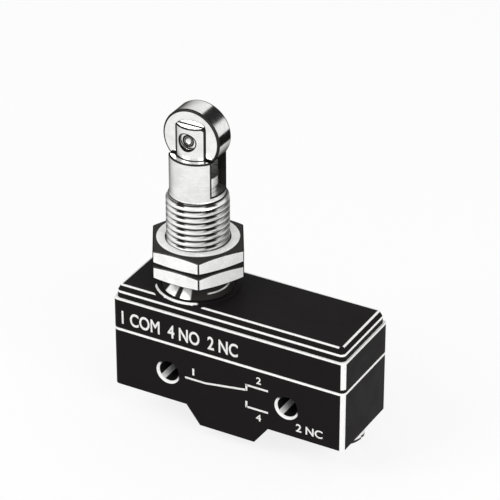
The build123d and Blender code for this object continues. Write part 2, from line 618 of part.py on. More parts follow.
def terminal_screw(x, face):
    """Pan-head terminal screw, head down."""
    seat = face + TERMINAL_RECESS
    head_top = seat - WASHER_THICKNESS
    foot = head_top - SCREW_HEAD_HEIGHT
    head = disc(SCREW_HEAD_RADIUS, foot, head_top)
    head = chamfer(outer_edges(head, False), SCREW_HEAD_BEVEL)
    screw = head + disc(SCREW_RADIUS, head_top, seat + SCREW_REACH)
    slot = block(-SCREW_HEAD_RADIUS - 1, SCREW_HEAD_RADIUS + 1, HEAD_SLOT_WIDTH, foot - 1, foot + HEAD_SLOT_DEPTH)
    return Pos(x, 0, 0) * (screw - slot)


def toothed_washer(x, face):
    """Lock washer with teeth round its rim."""
    top = face + TERMINAL_RECESS
    washer = disc(WASHER_RING_RADIUS, top - WASHER_THICKNESS, top)
    pitch = 2 * pi * WASHER_TOOTH_RADIUS / WASHER_TEETH
    for index in range(WASHER_TEETH):
        tooth = block(0, WASHER_TOOTH_RADIUS, pitch / 2, top - WASHER_THICKNESS, top)
        washer += Rot(0, 0, index * 360 / WASHER_TEETH) * tooth
    washer -= disc(SCREW_RADIUS + SCREW_HOLE_CLEARANCE, top - WASHER_THICKNESS - 1, top + 1)
    return Pos(x, 0, 0) * washer


def nodes():
    """Every piece by the name of its node."""
    lower_nut = Z_PLATE + LOWER_NUT_HEIGHT
    head_top = Z_PUSHER_HEAD + PUSHER_HEAD_THICKNESS
    pieces = {
        "case": case(),
        "case_gasket": gasket(),
        "cover": cover(),
        "top_plate": top_plate(),
        "barrel": barrel(),
        "lock_nut_lower": lock_nut(lower_nut),
        "lock_nut_upper": lock_nut(lower_nut + NUT_THICKNESS + NUT_GAP),
        "plunger": plunger(),
        "plunger_ring": plunger_ring(),
        "roller": roller(),
        "roller_axle": roller_axle(),
        "pusher": pusher(),
        "pusher_clip": pusher_clip(),
        "overtravel_spring": coil_spring(OVERTRAVEL_COIL_RADIUS, OVERTRAVEL_WIRE_RADIUS, OVERTRAVEL_TURNS,
                                         head_top, Z_SADDLE - CROWN_THICKNESS),
        "return_spring": coil_spring(RETURN_COIL_RADIUS, RETURN_WIRE_RADIUS, RETURN_TURNS,
                                     Z_SPRING_SEAT, Z_PLUNGER),
        "spring_seat": spring_seat(),
        "diaphragm": diaphragm(),
        "actuating_pin": actuating_pin(),
        "snap_blade": snap_blade(),
        "blade_rivet": blade_rivet(),
        "moving_contact": moving_contact(),
        "anvil": anvil(),
        "com_terminal": com_terminal(),
        "no_terminal": no_terminal(),
        "nc_terminal": nc_terminal(),
        "no_contact": fixed_contact(Z_NO_ARM_TOP, Z_CONTACT_FOOT - CONTACT_GAP - CONTACT_TOUCH, True),
        "nc_contact": fixed_contact(Z_CONTACT_TOP + CONTACT_TOUCH, Z_NC_ARM, False),
    }
    screws = {"com": (-X_END_TERMINAL, Z_BASE), "no": (0, Z_BUMP), "nc": (X_END_TERMINAL, Z_BASE)}
    for name, (x, face) in screws.items():
        pieces[name + "_screw"] = terminal_screw(x, face)
        pieces[name + "_washer"] = toothed_washer(x, face)
    for index, (x, y) in enumerate(plate_screw_places(), 1):
        pieces["plate_screw_%d" % index] = Pos(x, y, 0) * plate_screw()
    return pieces


os.makedirs("parts", exist_ok=True)
for node, piece in nodes().items():
    export_step(piece, "parts/%s.step" % node)
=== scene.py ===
"""Looks of a micro switch with a roller plunger: bright plated metal on a black moulded case."""
import json
from math import ceil, cos, floor, pi, radians, sin, sqrt
import bmesh
import bpy
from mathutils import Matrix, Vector


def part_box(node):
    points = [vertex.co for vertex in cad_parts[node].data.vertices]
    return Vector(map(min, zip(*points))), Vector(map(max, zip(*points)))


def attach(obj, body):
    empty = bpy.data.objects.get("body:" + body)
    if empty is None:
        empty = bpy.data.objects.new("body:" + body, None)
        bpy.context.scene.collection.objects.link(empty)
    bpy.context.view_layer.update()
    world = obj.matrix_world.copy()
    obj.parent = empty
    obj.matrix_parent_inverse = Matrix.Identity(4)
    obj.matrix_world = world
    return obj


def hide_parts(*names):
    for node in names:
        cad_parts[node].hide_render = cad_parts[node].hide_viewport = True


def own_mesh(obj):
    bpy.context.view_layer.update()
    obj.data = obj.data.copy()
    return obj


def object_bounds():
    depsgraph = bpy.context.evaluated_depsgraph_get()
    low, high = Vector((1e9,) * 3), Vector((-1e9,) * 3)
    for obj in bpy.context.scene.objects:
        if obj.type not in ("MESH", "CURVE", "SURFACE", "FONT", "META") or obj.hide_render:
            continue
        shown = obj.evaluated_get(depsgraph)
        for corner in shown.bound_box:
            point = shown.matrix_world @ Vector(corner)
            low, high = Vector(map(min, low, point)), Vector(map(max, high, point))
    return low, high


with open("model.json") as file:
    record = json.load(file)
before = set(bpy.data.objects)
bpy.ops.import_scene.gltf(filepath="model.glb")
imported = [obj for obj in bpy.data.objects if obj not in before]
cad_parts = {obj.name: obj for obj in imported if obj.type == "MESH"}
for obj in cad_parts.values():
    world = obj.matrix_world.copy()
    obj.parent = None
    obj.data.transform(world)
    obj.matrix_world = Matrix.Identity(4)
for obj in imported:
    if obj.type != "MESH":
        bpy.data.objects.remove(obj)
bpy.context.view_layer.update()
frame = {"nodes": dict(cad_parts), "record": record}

MM = 0.001

# Picture
CAMERA_AZIMUTH = radians(28.965)
CAMERA_ELEVATION = radians(30.39)
CAMERA_DISTANCE = 534.69 * MM
CAMERA_TARGET = (0.15 * MM, 0, 25.88 * MM)
CAMERA_CLIP = 10 * MM
SENSOR_WIDTH = 36
LENS = 208.27

# Card that reflections show, on the floor behind
CARD_ANGLE = radians(55)
CARD_NEAR = 97 * MM
CARD_FAR = 371 * MM
CARD_WIDTH = 120 * MM
CARD_LIFT = 0.2 * MM
CARD_BLACK = (0.01, 0.01, 0.01, 1)

# Floor, and lamps by place, size and power
FLOOR_HALF = 600 * MM
FLOOR_PALE = (0.95, 0.95, 0.95, 1)
FLOOR_ROUGHNESS = 0.9
FLOOR_GLOW = 0.82
LAMPS = {"key_lamp": ((-0.35, -0.45, 0.55), 0.35, 2.0), "fill_lamp": ((0.5, -0.3, 0.35), 0.4, 1.9)}

# Tent that reflections show: gaps by azimuth in degrees and half-width as a sine, and brightness
TENT_GAPS = ((20, 0.24), (-62, 0.10), (118, 0.10))
TENT_GAP_SOFT = 0.05
TENT_GAP_DARK = 0.02
TENT_EVEN = 0.6

# Sizes that the frame's boxes don't give
THREAD_PITCH = 1.25 * MM
THREAD_RADIUS = 5.98 * MM
THREAD_ROOT = 5.3 * MM
THREAD_CREST = 0.3
THREAD_FROM_PLATE = 2.2 * MM
THREAD_END_FROM_RIM = 9.25 * MM
THREAD_LEAD_IN = 0.68 * MM
THREAD_RUN_OUT = 1.2 * MM
COLLAR_RADIUS = 7.0 * MM
COLLAR_GLINT_RADIUS = 6.05 * MM
FLANGE_THICKNESS = 1.1 * MM
BORE_RADIUS = 4.05 * MM
SPRING_BORE_RADIUS = 4.65 * MM
SHOULDER_FROM_RIM = 14.05 * MM
RIM_BREAK = 0.25 * MM
SLOT_WIDTH = 5.5 * MM
SLOT_DEPTH = 7.2 * MM
BOSS_RISE = 0.25 * MM
BOSS_RADIUS = 8.1 * MM
NUT_BORE_RADIUS = 6.03 * MM
NUT_FACE_RADIUS = 7.78 * MM
NUT_CORNER_DROP = 0.45 * MM
NUT_EDGE = 0.2 * MM
PLUNGER_RADIUS = 4.0 * MM
PLUNGER_FLANGE_THICKNESS = 1.3 * MM
PUSHER_BORE_RADIUS = 2.55 * MM
CROWN_THICKNESS = 2.7 * MM
CHEEK_HEIGHT = 10.8 * MM
CHEEK_CORNER_RADIUS = 0.8 * MM
ROLLER_GAP = 4.9 * MM
AXLE_HOLE_RADIUS = 1.22 * MM
RECESS_RADIUS = 1.7 * MM
RING_GROOVE_DEPTH = 0.69 * MM
RING_GROOVE_WIDTH = 0.85 * MM
ROLLER_BORE_RADIUS = 1.25 * MM
ROLLER_EDGE_RADIUS = 0.35 * MM
ROLLER_EDGE_LOOP = 0.05 * MM
DIMPLE_RADIUS = 0.7 * MM
AXLE_EDGE = 0.12 * MM
SCREW_HEAD_BEVEL = 0.5 * MM
HOLE_RADIUS = 2.1 * MM
HOLE_SPACING = 25.4 * MM

# Springs by radius of coil, radius of wire and turns, and pitch of the closed turns by the wire's thickness
RETURN_COIL = (3.85 * MM, 0.35 * MM, 6)
OVERTRAVEL_COIL = (1.95 * MM, 0.25 * MM, 5)
COIL_CLOSING = 1.06

# Steps of round forms, and reaches and angles of the mesh work
ROUND_STEPS = 144
HOLE_STEPS = 64
THREAD_ROWS = 8
CORNER_STEPS = 6
ROLLER_EDGE_STEPS = 4
COIL_STEPS = 40
WIRE_SIDES = 12
MERGE_REACH = 0.0005 * MM
CUT_MARGIN = 1.0 * MM
CUT_LEFTOVER = 0.002 * MM
BEVEL_LIMIT = radians(30)
BEVEL_SEGMENTS = 2
SMOOTH_LIMIT = radians(28)
ROUNDING = 1e-9

# Print on the front face, in millimetres: words with width, height and place, and the lines of a contact sign
PRINT_THICKNESS = 0.01
PRINT_WORDS = {
    "legend": ("1 COM  4 NO  2 NC", 25.1, 2.9, (-10.15, 9.2)),
    "common": ("1", 0.42, 1.5, (-7.2, 1.7)),
    "closed": ("2", 1.0, 1.5, (6.8, 4.1)),
    "open": ("4", 1.1, 1.5, (6.8, -4.1)),
    "terminal": ("2 NC", 5.6, 1.75, (17.5, -3.7))}
SIGN_LINE = 0.42
SIGN_LINES = (
    ((-9.0, 0), (-4.6, 0)),
    ((-4.6, 0), (4.2, 1.3)),
    ((4.2, 2.4), (8.8, 2.4)),
    ((4.2, 2.61), (4.2, 1.15)),
    ((4.2, -2.4), (8.8, -2.4)),
    ((4.2, -2.61), (4.2, -1.15)))

# Letters in the font's own units: added weight, narrow notches that it folds over, and doubled points
PRINT_WEIGHT = 0.02
LETTER_NOTCH = 0.028
LETTER_MERGE = LETTER_NOTCH / 50

# Colours, most as pairs of tones that a noise mixes
PLASTIC_BLACK = (0.0112, 0.0098, 0.0102)
PLASTIC_GREY = (0.02, 0.018, 0.0185)
# Pale colour of the painted highlights along the mouldings' edges
HIGHLIGHT_WHITE = (0.86, 0.86, 0.85)
# Colour of the painted shade on the metal
PAINTED_SHADE_BLACK = (0.035, 0.033, 0.032)
PLATE_WHITE = ((0.93, 0.93, 0.925), (0.80, 0.80, 0.79))
# Painted shade on the rounded edge strips of the nuts and the axle
EDGE_SHADE_BLACK = ((0.06, 0.06, 0.06), (0.035, 0.035, 0.035))
WIRE_GREY = ((0.6, 0.6, 0.59), (0.45, 0.45, 0.44))
SCREW_GREY = ((0.78, 0.78, 0.76), (0.66, 0.66, 0.64))
BRASS = ((0.82, 0.62, 0.28), (0.66, 0.47, 0.2))
COPPER = ((0.8, 0.5, 0.28), (0.62, 0.36, 0.2))
SILVER = ((0.9, 0.9, 0.88), (0.74, 0.74, 0.72))
RUBBER_BLACK = ((0.018, 0.018, 0.018), (0.03, 0.03, 0.03))
PIN_RED = ((0.42, 0.05, 0.035), (0.34, 0.04, 0.03))
INK_WHITE = ((0.82, 0.82, 0.80), (0.7, 0.7, 0.69))
RIM_TINT = (0.04, 0.04, 0.04, 1)
PLASTIC_SPECULAR = 0.02

# Tool marks as features a millimetre in X, Y and Z
TURNED_MARKS = (1.2, 1.2, 9.0)
BARREL_MARKS = (1, 1, 4)
ROLLER_MARKS = (0.8, 6.0, 0.8)
BRASS_MARKS = (6, 0.8, 6)
BLADE_MARKS = (0.8, 6, 6)
EVEN_MARKS = (3, 3, 3)

# Parts of a noise's range that tone and gloss follow, and shares and depths, depths in millimetres
TONE_RANGE = (0.35, 0.65)
GLOSS_RANGE = (0.3, 0.7)
PLASTIC_ROUGHNESS = (0.34, 0.46)
BUMP_FINENESS = 4
FLECK_SHARE = 0.35
FINE_GRAIN_SHARE = 0.35
GRAIN_DEPTH = 0.012
SCRATCH_DEPTH = 0.004
STREAK_SHARE = 0.45
PAINTED_SHADE_ROUGHNESS = 0.35

# How softly marks end: along a length in millimetres, and round an axis in degrees
SOFT = 0.06
FIRM = 0.05
CRISP = 0.04
SHARP = 0.03
FINE = 0.02
FINEST = 0.01
WIDE_FADE = 12
SHADE_WINDOW_FADE = 6
GLINT_FADE = 3
NARROW_FADE = 2

# Painted highlights on the mouldings, as pale lines in millimetres: how far they reach from the edges, and
# where they stop
CASE_LINE = 0.28
CORNER_LINE = 0.78
COVER_FOOT_LINE = 0.25
COVER_TOP_LINE = 0.3
COVER_CORNER_START = 1.0
PLATE_STEP = 1.3
PLATE_STEP_HALF = 0.2
PLATE_INSET = 0.71
PLATE_LINE = 0.25
PLATE_CORNER = 0.6
PLATE_UPPER = 0.2
BOSS_LINE_INSET = 0.05
BOSS_LINE_HALF = 0.18
BOSS_CLEARANCE = 1.0
HOLE_RIM_DEPTH = 0.45
HOLE_RIM_WIDTH = 0.42

# Painted shade on the metal, in millimetres: widths of its dark lines, and how far they lie from an edge or a
# face
THREAD_THIN_SHADE = (0.1, 0.42)
THREAD_THICK_SHADE = (0.4, 0.62)
THREAD_SHADE_STOP = 0.12
MOUTH_LINE_DROP = 0.1
MOUTH_LINE_INNER = 0.22
COLLAR_GLINT_HALF = 0.1
SLOT_LINE = 0.27
SLOT_WALL = 0.05
SLOT_SKIN = 0.2
NUT_LINE = 0.06
NUT_FACE_CLEARANCE = 0.04
CHEEK_LINE = 0.27
CHEEK_SHADE = 0.75
CHEEK_TOP_RIM = 0.2
CHEEK_INNER_RIM = 0.18
RECESS_LINE = 0.16
RECESS_OUTSET = 0.04
DIMPLE_RIM = 0.15
ROLLER_LINE = 0.42
SCREW_LINE = 0.45
SCREW_OVERLAP = 0.05
SKIN = 0.03

# Directions of painted highlights and painted shade round their axes, in degrees: middle and half-width
HOLE_RIM = (240, 100)
HOLE_STREAK = (230, 15)
BOSS_LINE = (-103, 41)
THREAD_SHADE_WINDOWS = ((-95, 9), (-35, 12))
COLLAR_LIT_PATCHES = ((-112.5, 11.5), (-82, 8.5))
COLLAR_GLINT = (-15, 28)

# Materials of the CAD nodes that stay, by the record's slots
SLOT_MATERIALS = {
    "phenolic": "case", "phenolic_plate": "plate", "plated_steel": "barrel", "plated_nut": "nut",
    "plunger_steel": "plunger", "roller_steel": "roller", "axle_steel": "axle", "spring_steel": "spring",
    "screw_steel": "screw", "brass": "brass", "blade_copper": "blade", "silver": "silver", "rubber": "rubber",
    "pin_plastic": "pin"}

# Heights and places from the frame
case_low, case_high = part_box("case")
cover_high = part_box("cover")[1]
plate_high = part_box("top_plate")[1]
barrel_low, barrel_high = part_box("barrel")
plunger_low, plunger_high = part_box("plunger")
roller_low, roller_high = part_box("roller")
axle_low, axle_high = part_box("roller_axle")
ring_low, ring_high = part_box("plunger_ring")
plate_face = plate_high.z - BOSS_RISE
axis_x = (barrel_low.x + barrel_high.x) / 2
roller_z = (roller_low.z + roller_high.z) / 2


def ring_faces(bm, rings, closed=True):
    """Joins neighbouring rings of points with four-sided faces."""
    count = len(rings)
    for index in range(count if closed else count - 1):
        low, high = rings[index], rings[(index + 1) % count]
        for j in range(len(low)):
            k = (j + 1) % len(low)
            bm.faces.new((low[j], low[k], high[k], high[j]))


def finish_mesh(bm, name):
    """Merges doubled points, turns the faces outwards and makes a mesh."""
    bmesh.ops.remove_doubles(bm, verts=bm.verts, dist=MERGE_REACH)
    bmesh.ops.dissolve_degenerate(bm, dist=MERGE_REACH, edges=bm.edges)
    bmesh.ops.recalc_face_normals(bm, faces=bm.faces)
    mesh = bpy.data.meshes.new(name)
    bm.to_mesh(mesh)
    bm.free()
    return mesh


def clean(piece, reach):
    """Merges points closer than a reach and joins faces without area to their neighbours."""
    bm = bmesh.new()
    bm.from_mesh(piece.data)
    bmesh.ops.remove_doubles(bm, verts=bm.verts, dist=reach)
    bmesh.ops.dissolve_degenerate(bm, dist=reach, edges=bm.edges)
    slivers = [face for face in bm.faces if face.calc_area() < reach ** 2]
    longest = [max(face.edges, key=bmesh.types.BMEdge.calc_length) for face in slivers]
    bmesh.ops.dissolve_edges(bm, edges=list(dict.fromkeys(longest)))
    bmesh.ops.recalc_face_normals(bm, faces=bm.faces)
    bm.to_mesh(piece.data)
    bm.free()
    return piece


def as_object(name, mesh):
    """Object with its place in its mesh."""
    piece = bpy.data.objects.new(name, mesh)
    bpy.context.scene.collection.objects.link(piece)
    return piece


def lathe(name, outline, centre, axis="Z", steps=ROUND_STEPS):
    """Closed solid turned from an outline of (radius, height) points, about Z or Y."""
    bm = bmesh.new()
    rings = []
    for radius, height in outline:
        ring = []
        for j in range(steps):
            angle = 2 * pi * j / steps
            across, along = radius * cos(angle), radius * sin(angle)
            place = (across, along, height) if axis == "Z" else (across, height, along)
            ring.append(bm.verts.new(Vector(centre) + Vector(place)))
        rings.append(ring)
    ring_faces(bm, rings)
    return as_object(name, finish_mesh(bm, name))


def prism(name, outline, half_depth, centre):
    """Solid between two copies of an outline of (x, z) points, on both sides of the XZ plane."""
    bm = bmesh.new()
    rings = []
    for y in (-half_depth, half_depth):
        rings.append([bm.verts.new(Vector(centre) + Vector((x, y, z))) for x, z in outline])
    ring_faces(bm, rings, closed=False)
    for ring in rings:
        bm.faces.new(ring)
    return as_object(name, finish_mesh(bm, name))


def settle(piece):
    """Applies the modifiers of a piece to its mesh."""
    graph = bpy.context.evaluated_depsgraph_get()
    mesh = bpy.data.meshes.new_from_object(piece.evaluated_get(graph))
    old = piece.data
    piece.modifiers.clear()
    piece.data = mesh
    mesh.name = piece.name
    bpy.data.meshes.remove(old)
    return piece


def combine(piece, tool, operation="DIFFERENCE"):
    """Cuts a piece with a tool, or keeps what both share, and removes the tool."""
    change = piece.modifiers.new("combine", "BOOLEAN")
    change.operation = operation
    change.solver = "EXACT"
    change.object = tool
    bpy.context.view_layer.update()
    settle(piece)
    bpy.data.objects.remove(tool)
    return piece


def soften(piece, width):
    """Rounds the sharp edges and keeps the faces flat; the rounded strips take the second material, which
    paints shade along them.
    """
    piece.data.shade_smooth()
    piece.data.set_sharp_from_angle(angle=BEVEL_LIMIT)
    piece.data.materials.append(None)
    piece.data.materials.append(None)
    change = piece.modifiers.new("soften", "BEVEL")
    change.width = width
    change.segments = BEVEL_SEGMENTS
    change.limit_method = "ANGLE"
    change.angle_limit = BEVEL_LIMIT
    change.material = 1
    change.miter_outer = "MITER_ARC"
    change.harden_normals = True
    return settle(piece)


def dress(piece, body, materials, replaced=()):
    """Gives a piece its materials and its body, and hides the nodes that it stands for."""
    slots = piece.data.materials
    for index, material in enumerate(materials):
        if index == len(slots):
            slots.append(None)
        slots[index] = material
    if not piece.data.has_custom_normals:
        piece.data.shade_smooth()
        piece.data.set_sharp_from_angle(angle=SMOOTH_LIMIT)
    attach(piece, body)
    if replaced:
        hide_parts(*replaced)


class Graph:
    """Small helper that adds nodes to one tree."""

    def __init__(self, tree):
        self.tree = tree

    def node(self, kind, **settings):
        """New node with its settings."""
        made = self.tree.nodes.new(kind)
        for key, value in settings.items():
            setattr(made, key, value)
        return made

    def feed(self, target, source):
        """Links an input to a socket, or sets it to a value."""
        if isinstance(source, bpy.types.NodeSocket):
            self.tree.links.new(source, target)
        else:
            target.default_value = source

    def math(self, operation, *values, clamp=False):
        """Result of a sum on sockets or numbers."""
        made = self.node("ShaderNodeMath", operation=operation, use_clamp=clamp)
        for index, value in enumerate(values):
            self.feed(made.inputs[index], value)
        return made.outputs[0]

    def chain(self, operation, *sources):
        """Result of one operation on all sources in turn."""
        result = sources[0]
        for source in sources[1:]:
            result = self.math(operation, result, source)
        return result

    def vector(self, operation, source, factor, output="Vector"):
        """Result of a sum on a vector and a tuple."""
        made = self.node("ShaderNodeVectorMath", operation=operation)
        self.feed(made.inputs[0], source)
        self.feed(made.inputs[1], factor)
        return made.outputs[output]

    def spread(self, source, low, high, to_low=0, to_high=1, kind="SMOOTHSTEP"):
        """Maps a range to another, held at its ends."""
        made = self.node("ShaderNodeMapRange", interpolation_type=kind)
        self.feed(made.inputs["Value"], source)
        for name, value in (("From Min", low), ("From Max", high), ("To Min", to_low), ("To Max", to_high)):
            made.inputs[name].default_value = value
        return made.outputs[0]

    def choose(self, factor, first, second):
        """Mix of two values, each a socket or a number."""
        made = self.node("ShaderNodeMix")
        for index, source in ((0, factor), (2, first), (3, second)):
            self.feed(made.inputs[index], source)
        return made.outputs[0]


class Coat(Graph):
    """Material whose nodes join its Principled shader."""

    def __init__(self, name, **values):
        self.material = bpy.data.materials.new(name)
        self.material.use_nodes = True
        super().__init__(self.material.node_tree)
        self.surface = self.tree.nodes["Principled BSDF"]
        for socket, value in values.items():
            self.surface.inputs[socket.replace("_", " ")].default_value = value


class Shader(Coat):
    """Material with noise and masks by place, in the object's millimetres."""

    def __init__(self, name, **values):
        super().__init__(name, **values)
        coordinates = self.node("ShaderNodeTexCoord")
        self.place = self.vector("MULTIPLY", coordinates.outputs["Object"], (1 / MM,) * 3)
        split = self.node("ShaderNodeSeparateXYZ")
        self.feed(split.inputs[0], self.place)
        self.x, self.y, self.z = split.outputs

    def noise(self, scale, detail=2, stretch=None):
        """Noise at so many features a millimetre, stretched if asked."""
        place = self.vector("MULTIPLY", self.place, stretch) if stretch else self.place
        made = self.node("ShaderNodeTexNoise")
        self.feed(made.inputs["Vector"], place)
        made.inputs["Scale"].default_value = scale
        made.inputs["Detail"].default_value = detail
        return made.outputs["Fac"]

    def mix(self, factor, first, second):
        """Mix of two colours, each a socket or a tuple."""
        made = self.node("ShaderNodeMix", data_type="RGBA")
        self.feed(made.inputs[0], factor)
        for index, source in ((6, first), (7, second)):
            self.feed(made.inputs[index], (*source, 1) if isinstance(source, tuple) else source)
        return made.outputs[2]

    def bump(self, height, depth):
        """Bump whose height is in millimetres."""
        made = self.node("ShaderNodeBump")
        made.inputs["Strength"].default_value = 1
        made.inputs["Distance"].default_value = depth * MM
        self.feed(made.inputs["Height"], height)
        self.feed(self.surface.inputs["Normal"], made.outputs[0])

    def length(self, first, second):
        """Length of the diagonal over two sides."""
        squares = [self.math("MULTIPLY", side, side) for side in (first, second)]
        return self.math("SQRT", self.math("ADD", *squares))

    def offsets(self, centre, across):
        """Distances from a centre along X and along the other axis."""
        return self.math("SUBTRACT", self.x, centre[0] / MM), self.math("SUBTRACT", across, centre[1] / MM)

    def radius(self, centre, across):
        """Distance from an axis along Z (across is y) or along Y (across is z), in millimetres."""
        return self.length(*self.offsets(centre, across))

    def facing(self, centre, across, direction, soft):
        """One within some degrees of a direction round an axis along Z, or along Y if across is z."""
        angle, half = direction
        x, other = self.offsets(centre, across)
        along = self.math("ADD", self.math("MULTIPLY", x, cos(radians(angle))),
                          self.math("MULTIPLY", other, sin(radians(angle))))
        share = self.math("DIVIDE", along, self.radius(centre, across))
        return self.spread(share, cos(radians(half + soft)), cos(radians(half - soft)))

    def near(self, source, value, half, soft=SOFT):
        """One close to a value, and nought further than half from it."""
        away = self.math("ABSOLUTE", self.math("SUBTRACT", source, value))
        return self.spread(away, half - soft, half + soft, 1, 0)

    def beyond(self, source, value, soft=SOFT):
        """Nought below a value and one above it."""
        return self.spread(source, value - soft, value + soft)

    def below(self, source, value, soft=SOFT):
        """One below a value and nought above it."""
        return self.reverse(self.beyond(source, value, soft))

    def reverse(self, source):
        """Nought for one and one for nought."""
        return self.math("SUBTRACT", 1, source)

    def both(self, *sources):
        """Product of masks."""
        return self.chain("MULTIPLY", *sources)

    def any(self, *sources):
        """Greatest of masks."""
        return self.chain("MAXIMUM", *sources)

    def finish(self, colour, roughness):
        """Links colour and roughness to the surface and gives the material."""
        self.feed(self.surface.inputs["Base Color"], colour)
        self.feed(self.surface.inputs["Roughness"], roughness)
        return self.material


def plastic(name, highlights):
    """Black moulded phenolic; its argument gives where pale painted highlights lie along its edges."""
    shader = Shader(name, Specular_IOR_Level=PLASTIC_SPECULAR)
    fleck = shader.spread(shader.noise(scale=5.5), low=0.66, high=0.76)
    body = shader.mix(shader.math("MULTIPLY", fleck, FLECK_SHARE), PLASTIC_BLACK, PLASTIC_GREY)
    highlight_patchiness = shader.spread(shader.noise(scale=2.6, detail=3), low=0.18, high=0.42, to_low=0.72)
    # Painted highlights: pale lines along the edges, made a little patchy by a noise
    tone = shader.mix(shader.both(highlights(shader), highlight_patchiness), body, HIGHLIGHT_WHITE)
    satin = shader.spread(shader.noise(scale=0.18, detail=3), *GLOSS_RANGE, *PLASTIC_ROUGHNESS)
    fine = shader.math("MULTIPLY", shader.noise(scale=9.0), FINE_GRAIN_SHARE)
    shader.bump(shader.math("ADD", shader.noise(scale=1.6), fine), GRAIN_DEPTH)
    return shader.finish(tone, satin)


def corner_mask(shader, high, reach):
    """The rounded upright corners of a box, at the front right and the rear left, where painted highlights
    run.
    """
    x = shader.beyond(shader.math("ABSOLUTE", shader.x), high.x / MM - reach)
    y = shader.beyond(shader.math("ABSOLUTE", shader.y), high.y / MM - reach)
    # Only the front right and rear left corners take the painted highlight
    lit_pair = shader.math("LESS_THAN", shader.math("MULTIPLY", shader.x, shader.y), 0)
    return shader.both(x, y, lit_pair)


def hole_highlights(shader, x):
    """Painted highlight on the lower left rim of a mounting hole, and a painted highlight as a pale streak
    along its wall.
    """
    centre = (x, 0)
    depth = shader.math("SUBTRACT", case_high.y / MM, shader.math("ABSOLUTE", shader.y))
    shallow = shader.below(depth, HOLE_RIM_DEPTH)
    close = shader.below(shader.radius(centre, shader.z), HOLE_RADIUS / MM + HOLE_RIM_WIDTH, FIRM)
    rim = shader.both(shallow, close, shader.facing(centre, shader.z, HOLE_RIM, WIDE_FADE))
    wall = shader.both(close, shader.facing(centre, shader.z, HOLE_STREAK, NARROW_FADE))
    return shader.any(rim, wall)


def case_highlights(shader):
    """Painted highlights on the case's edge at the parting line, its upright corners and its mounting holes.
    """
    top = shader.beyond(shader.z, case_high.z / MM - CASE_LINE)
    corner = corner_mask(shader, case_high, CORNER_LINE)
    holes = [hole_highlights(shader, side * HOLE_SPACING / 2) for side in (-1, 1)]
    return shader.any(top, corner, *holes)


def cover_highlights(shader):
    """Painted highlights on both edges of the cover, and on its upright corners."""
    parting = case_high.z / MM
    low = shader.below(shader.z, parting + COVER_FOOT_LINE)
    top = shader.beyond(shader.z, cover_high.z / MM - COVER_TOP_LINE)
    corner = shader.both(corner_mask(shader, cover_high, CORNER_LINE),
                         shader.beyond(shader.z, parting + COVER_CORNER_START))
    return shader.any(low, top, corner)


def plate_highlights(shader):
    """Painted highlights on the plate's two edges and on the rim of its boss."""
    face = plate_face / MM
    step = shader.near(shader.z, face - PLATE_STEP, PLATE_STEP_HALF)
    x = shader.beyond(shader.math("ABSOLUTE", shader.x), plate_high.x / MM - PLATE_INSET - PLATE_LINE)
    y = shader.beyond(shader.math("ABSOLUTE", shader.y), plate_high.y / MM - PLATE_INSET - PLATE_LINE)
    upper = shader.beyond(shader.z, face - PLATE_UPPER)
    distance = shader.radius((axis_x, 0), shader.y)
    boss = shader.both(shader.near(distance, BOSS_RADIUS / MM - BOSS_LINE_INSET, BOSS_LINE_HALF), upper,
                       shader.facing((axis_x, 0), shader.y, BOSS_LINE, NARROW_FADE))
    clear = shader.beyond(distance, BOSS_RADIUS / MM + BOSS_CLEARANCE)
    corner = corner_mask(shader, plate_high, PLATE_INSET + PLATE_CORNER)
    outline = shader.both(shader.any(x, y), upper, clear, shader.reverse(corner))
    return shader.any(step, outline, boss)


def metal(name, tones, roughness, scratch=SCRATCH_DEPTH, marks=TURNED_MARKS, metallic=1.0, painted_shade=None):
    """Bright metal with fine tool marks; its last argument gives where painted shade darkens it."""
    shader = Shader(name, Metallic=metallic, Specular_Tint=RIM_TINT)
    streak = shader.noise(scale=1.0, detail=4, stretch=marks)
    cloud = shader.noise(scale=0.35, detail=3)
    blend = shader.math("ADD", shader.math("MULTIPLY", streak, STREAK_SHARE),
                        shader.math("MULTIPLY", cloud, 1 - STREAK_SHARE))
    tone = shader.mix(shader.spread(blend, *TONE_RANGE), *tones)
    rough = shader.spread(blend, *GLOSS_RANGE, *roughness)
    if painted_shade:
        # Painted shade: darker and rougher where the mask lies
        shade_amount = painted_shade(shader)
        tone = shader.mix(shade_amount, tone, PAINTED_SHADE_BLACK)
        rough = shader.math("ADD", rough, shader.math("MULTIPLY", shade_amount, PAINTED_SHADE_ROUGHNESS), clamp=True)
    shader.bump(streak, scratch)
    return shader.finish(tone, rough)


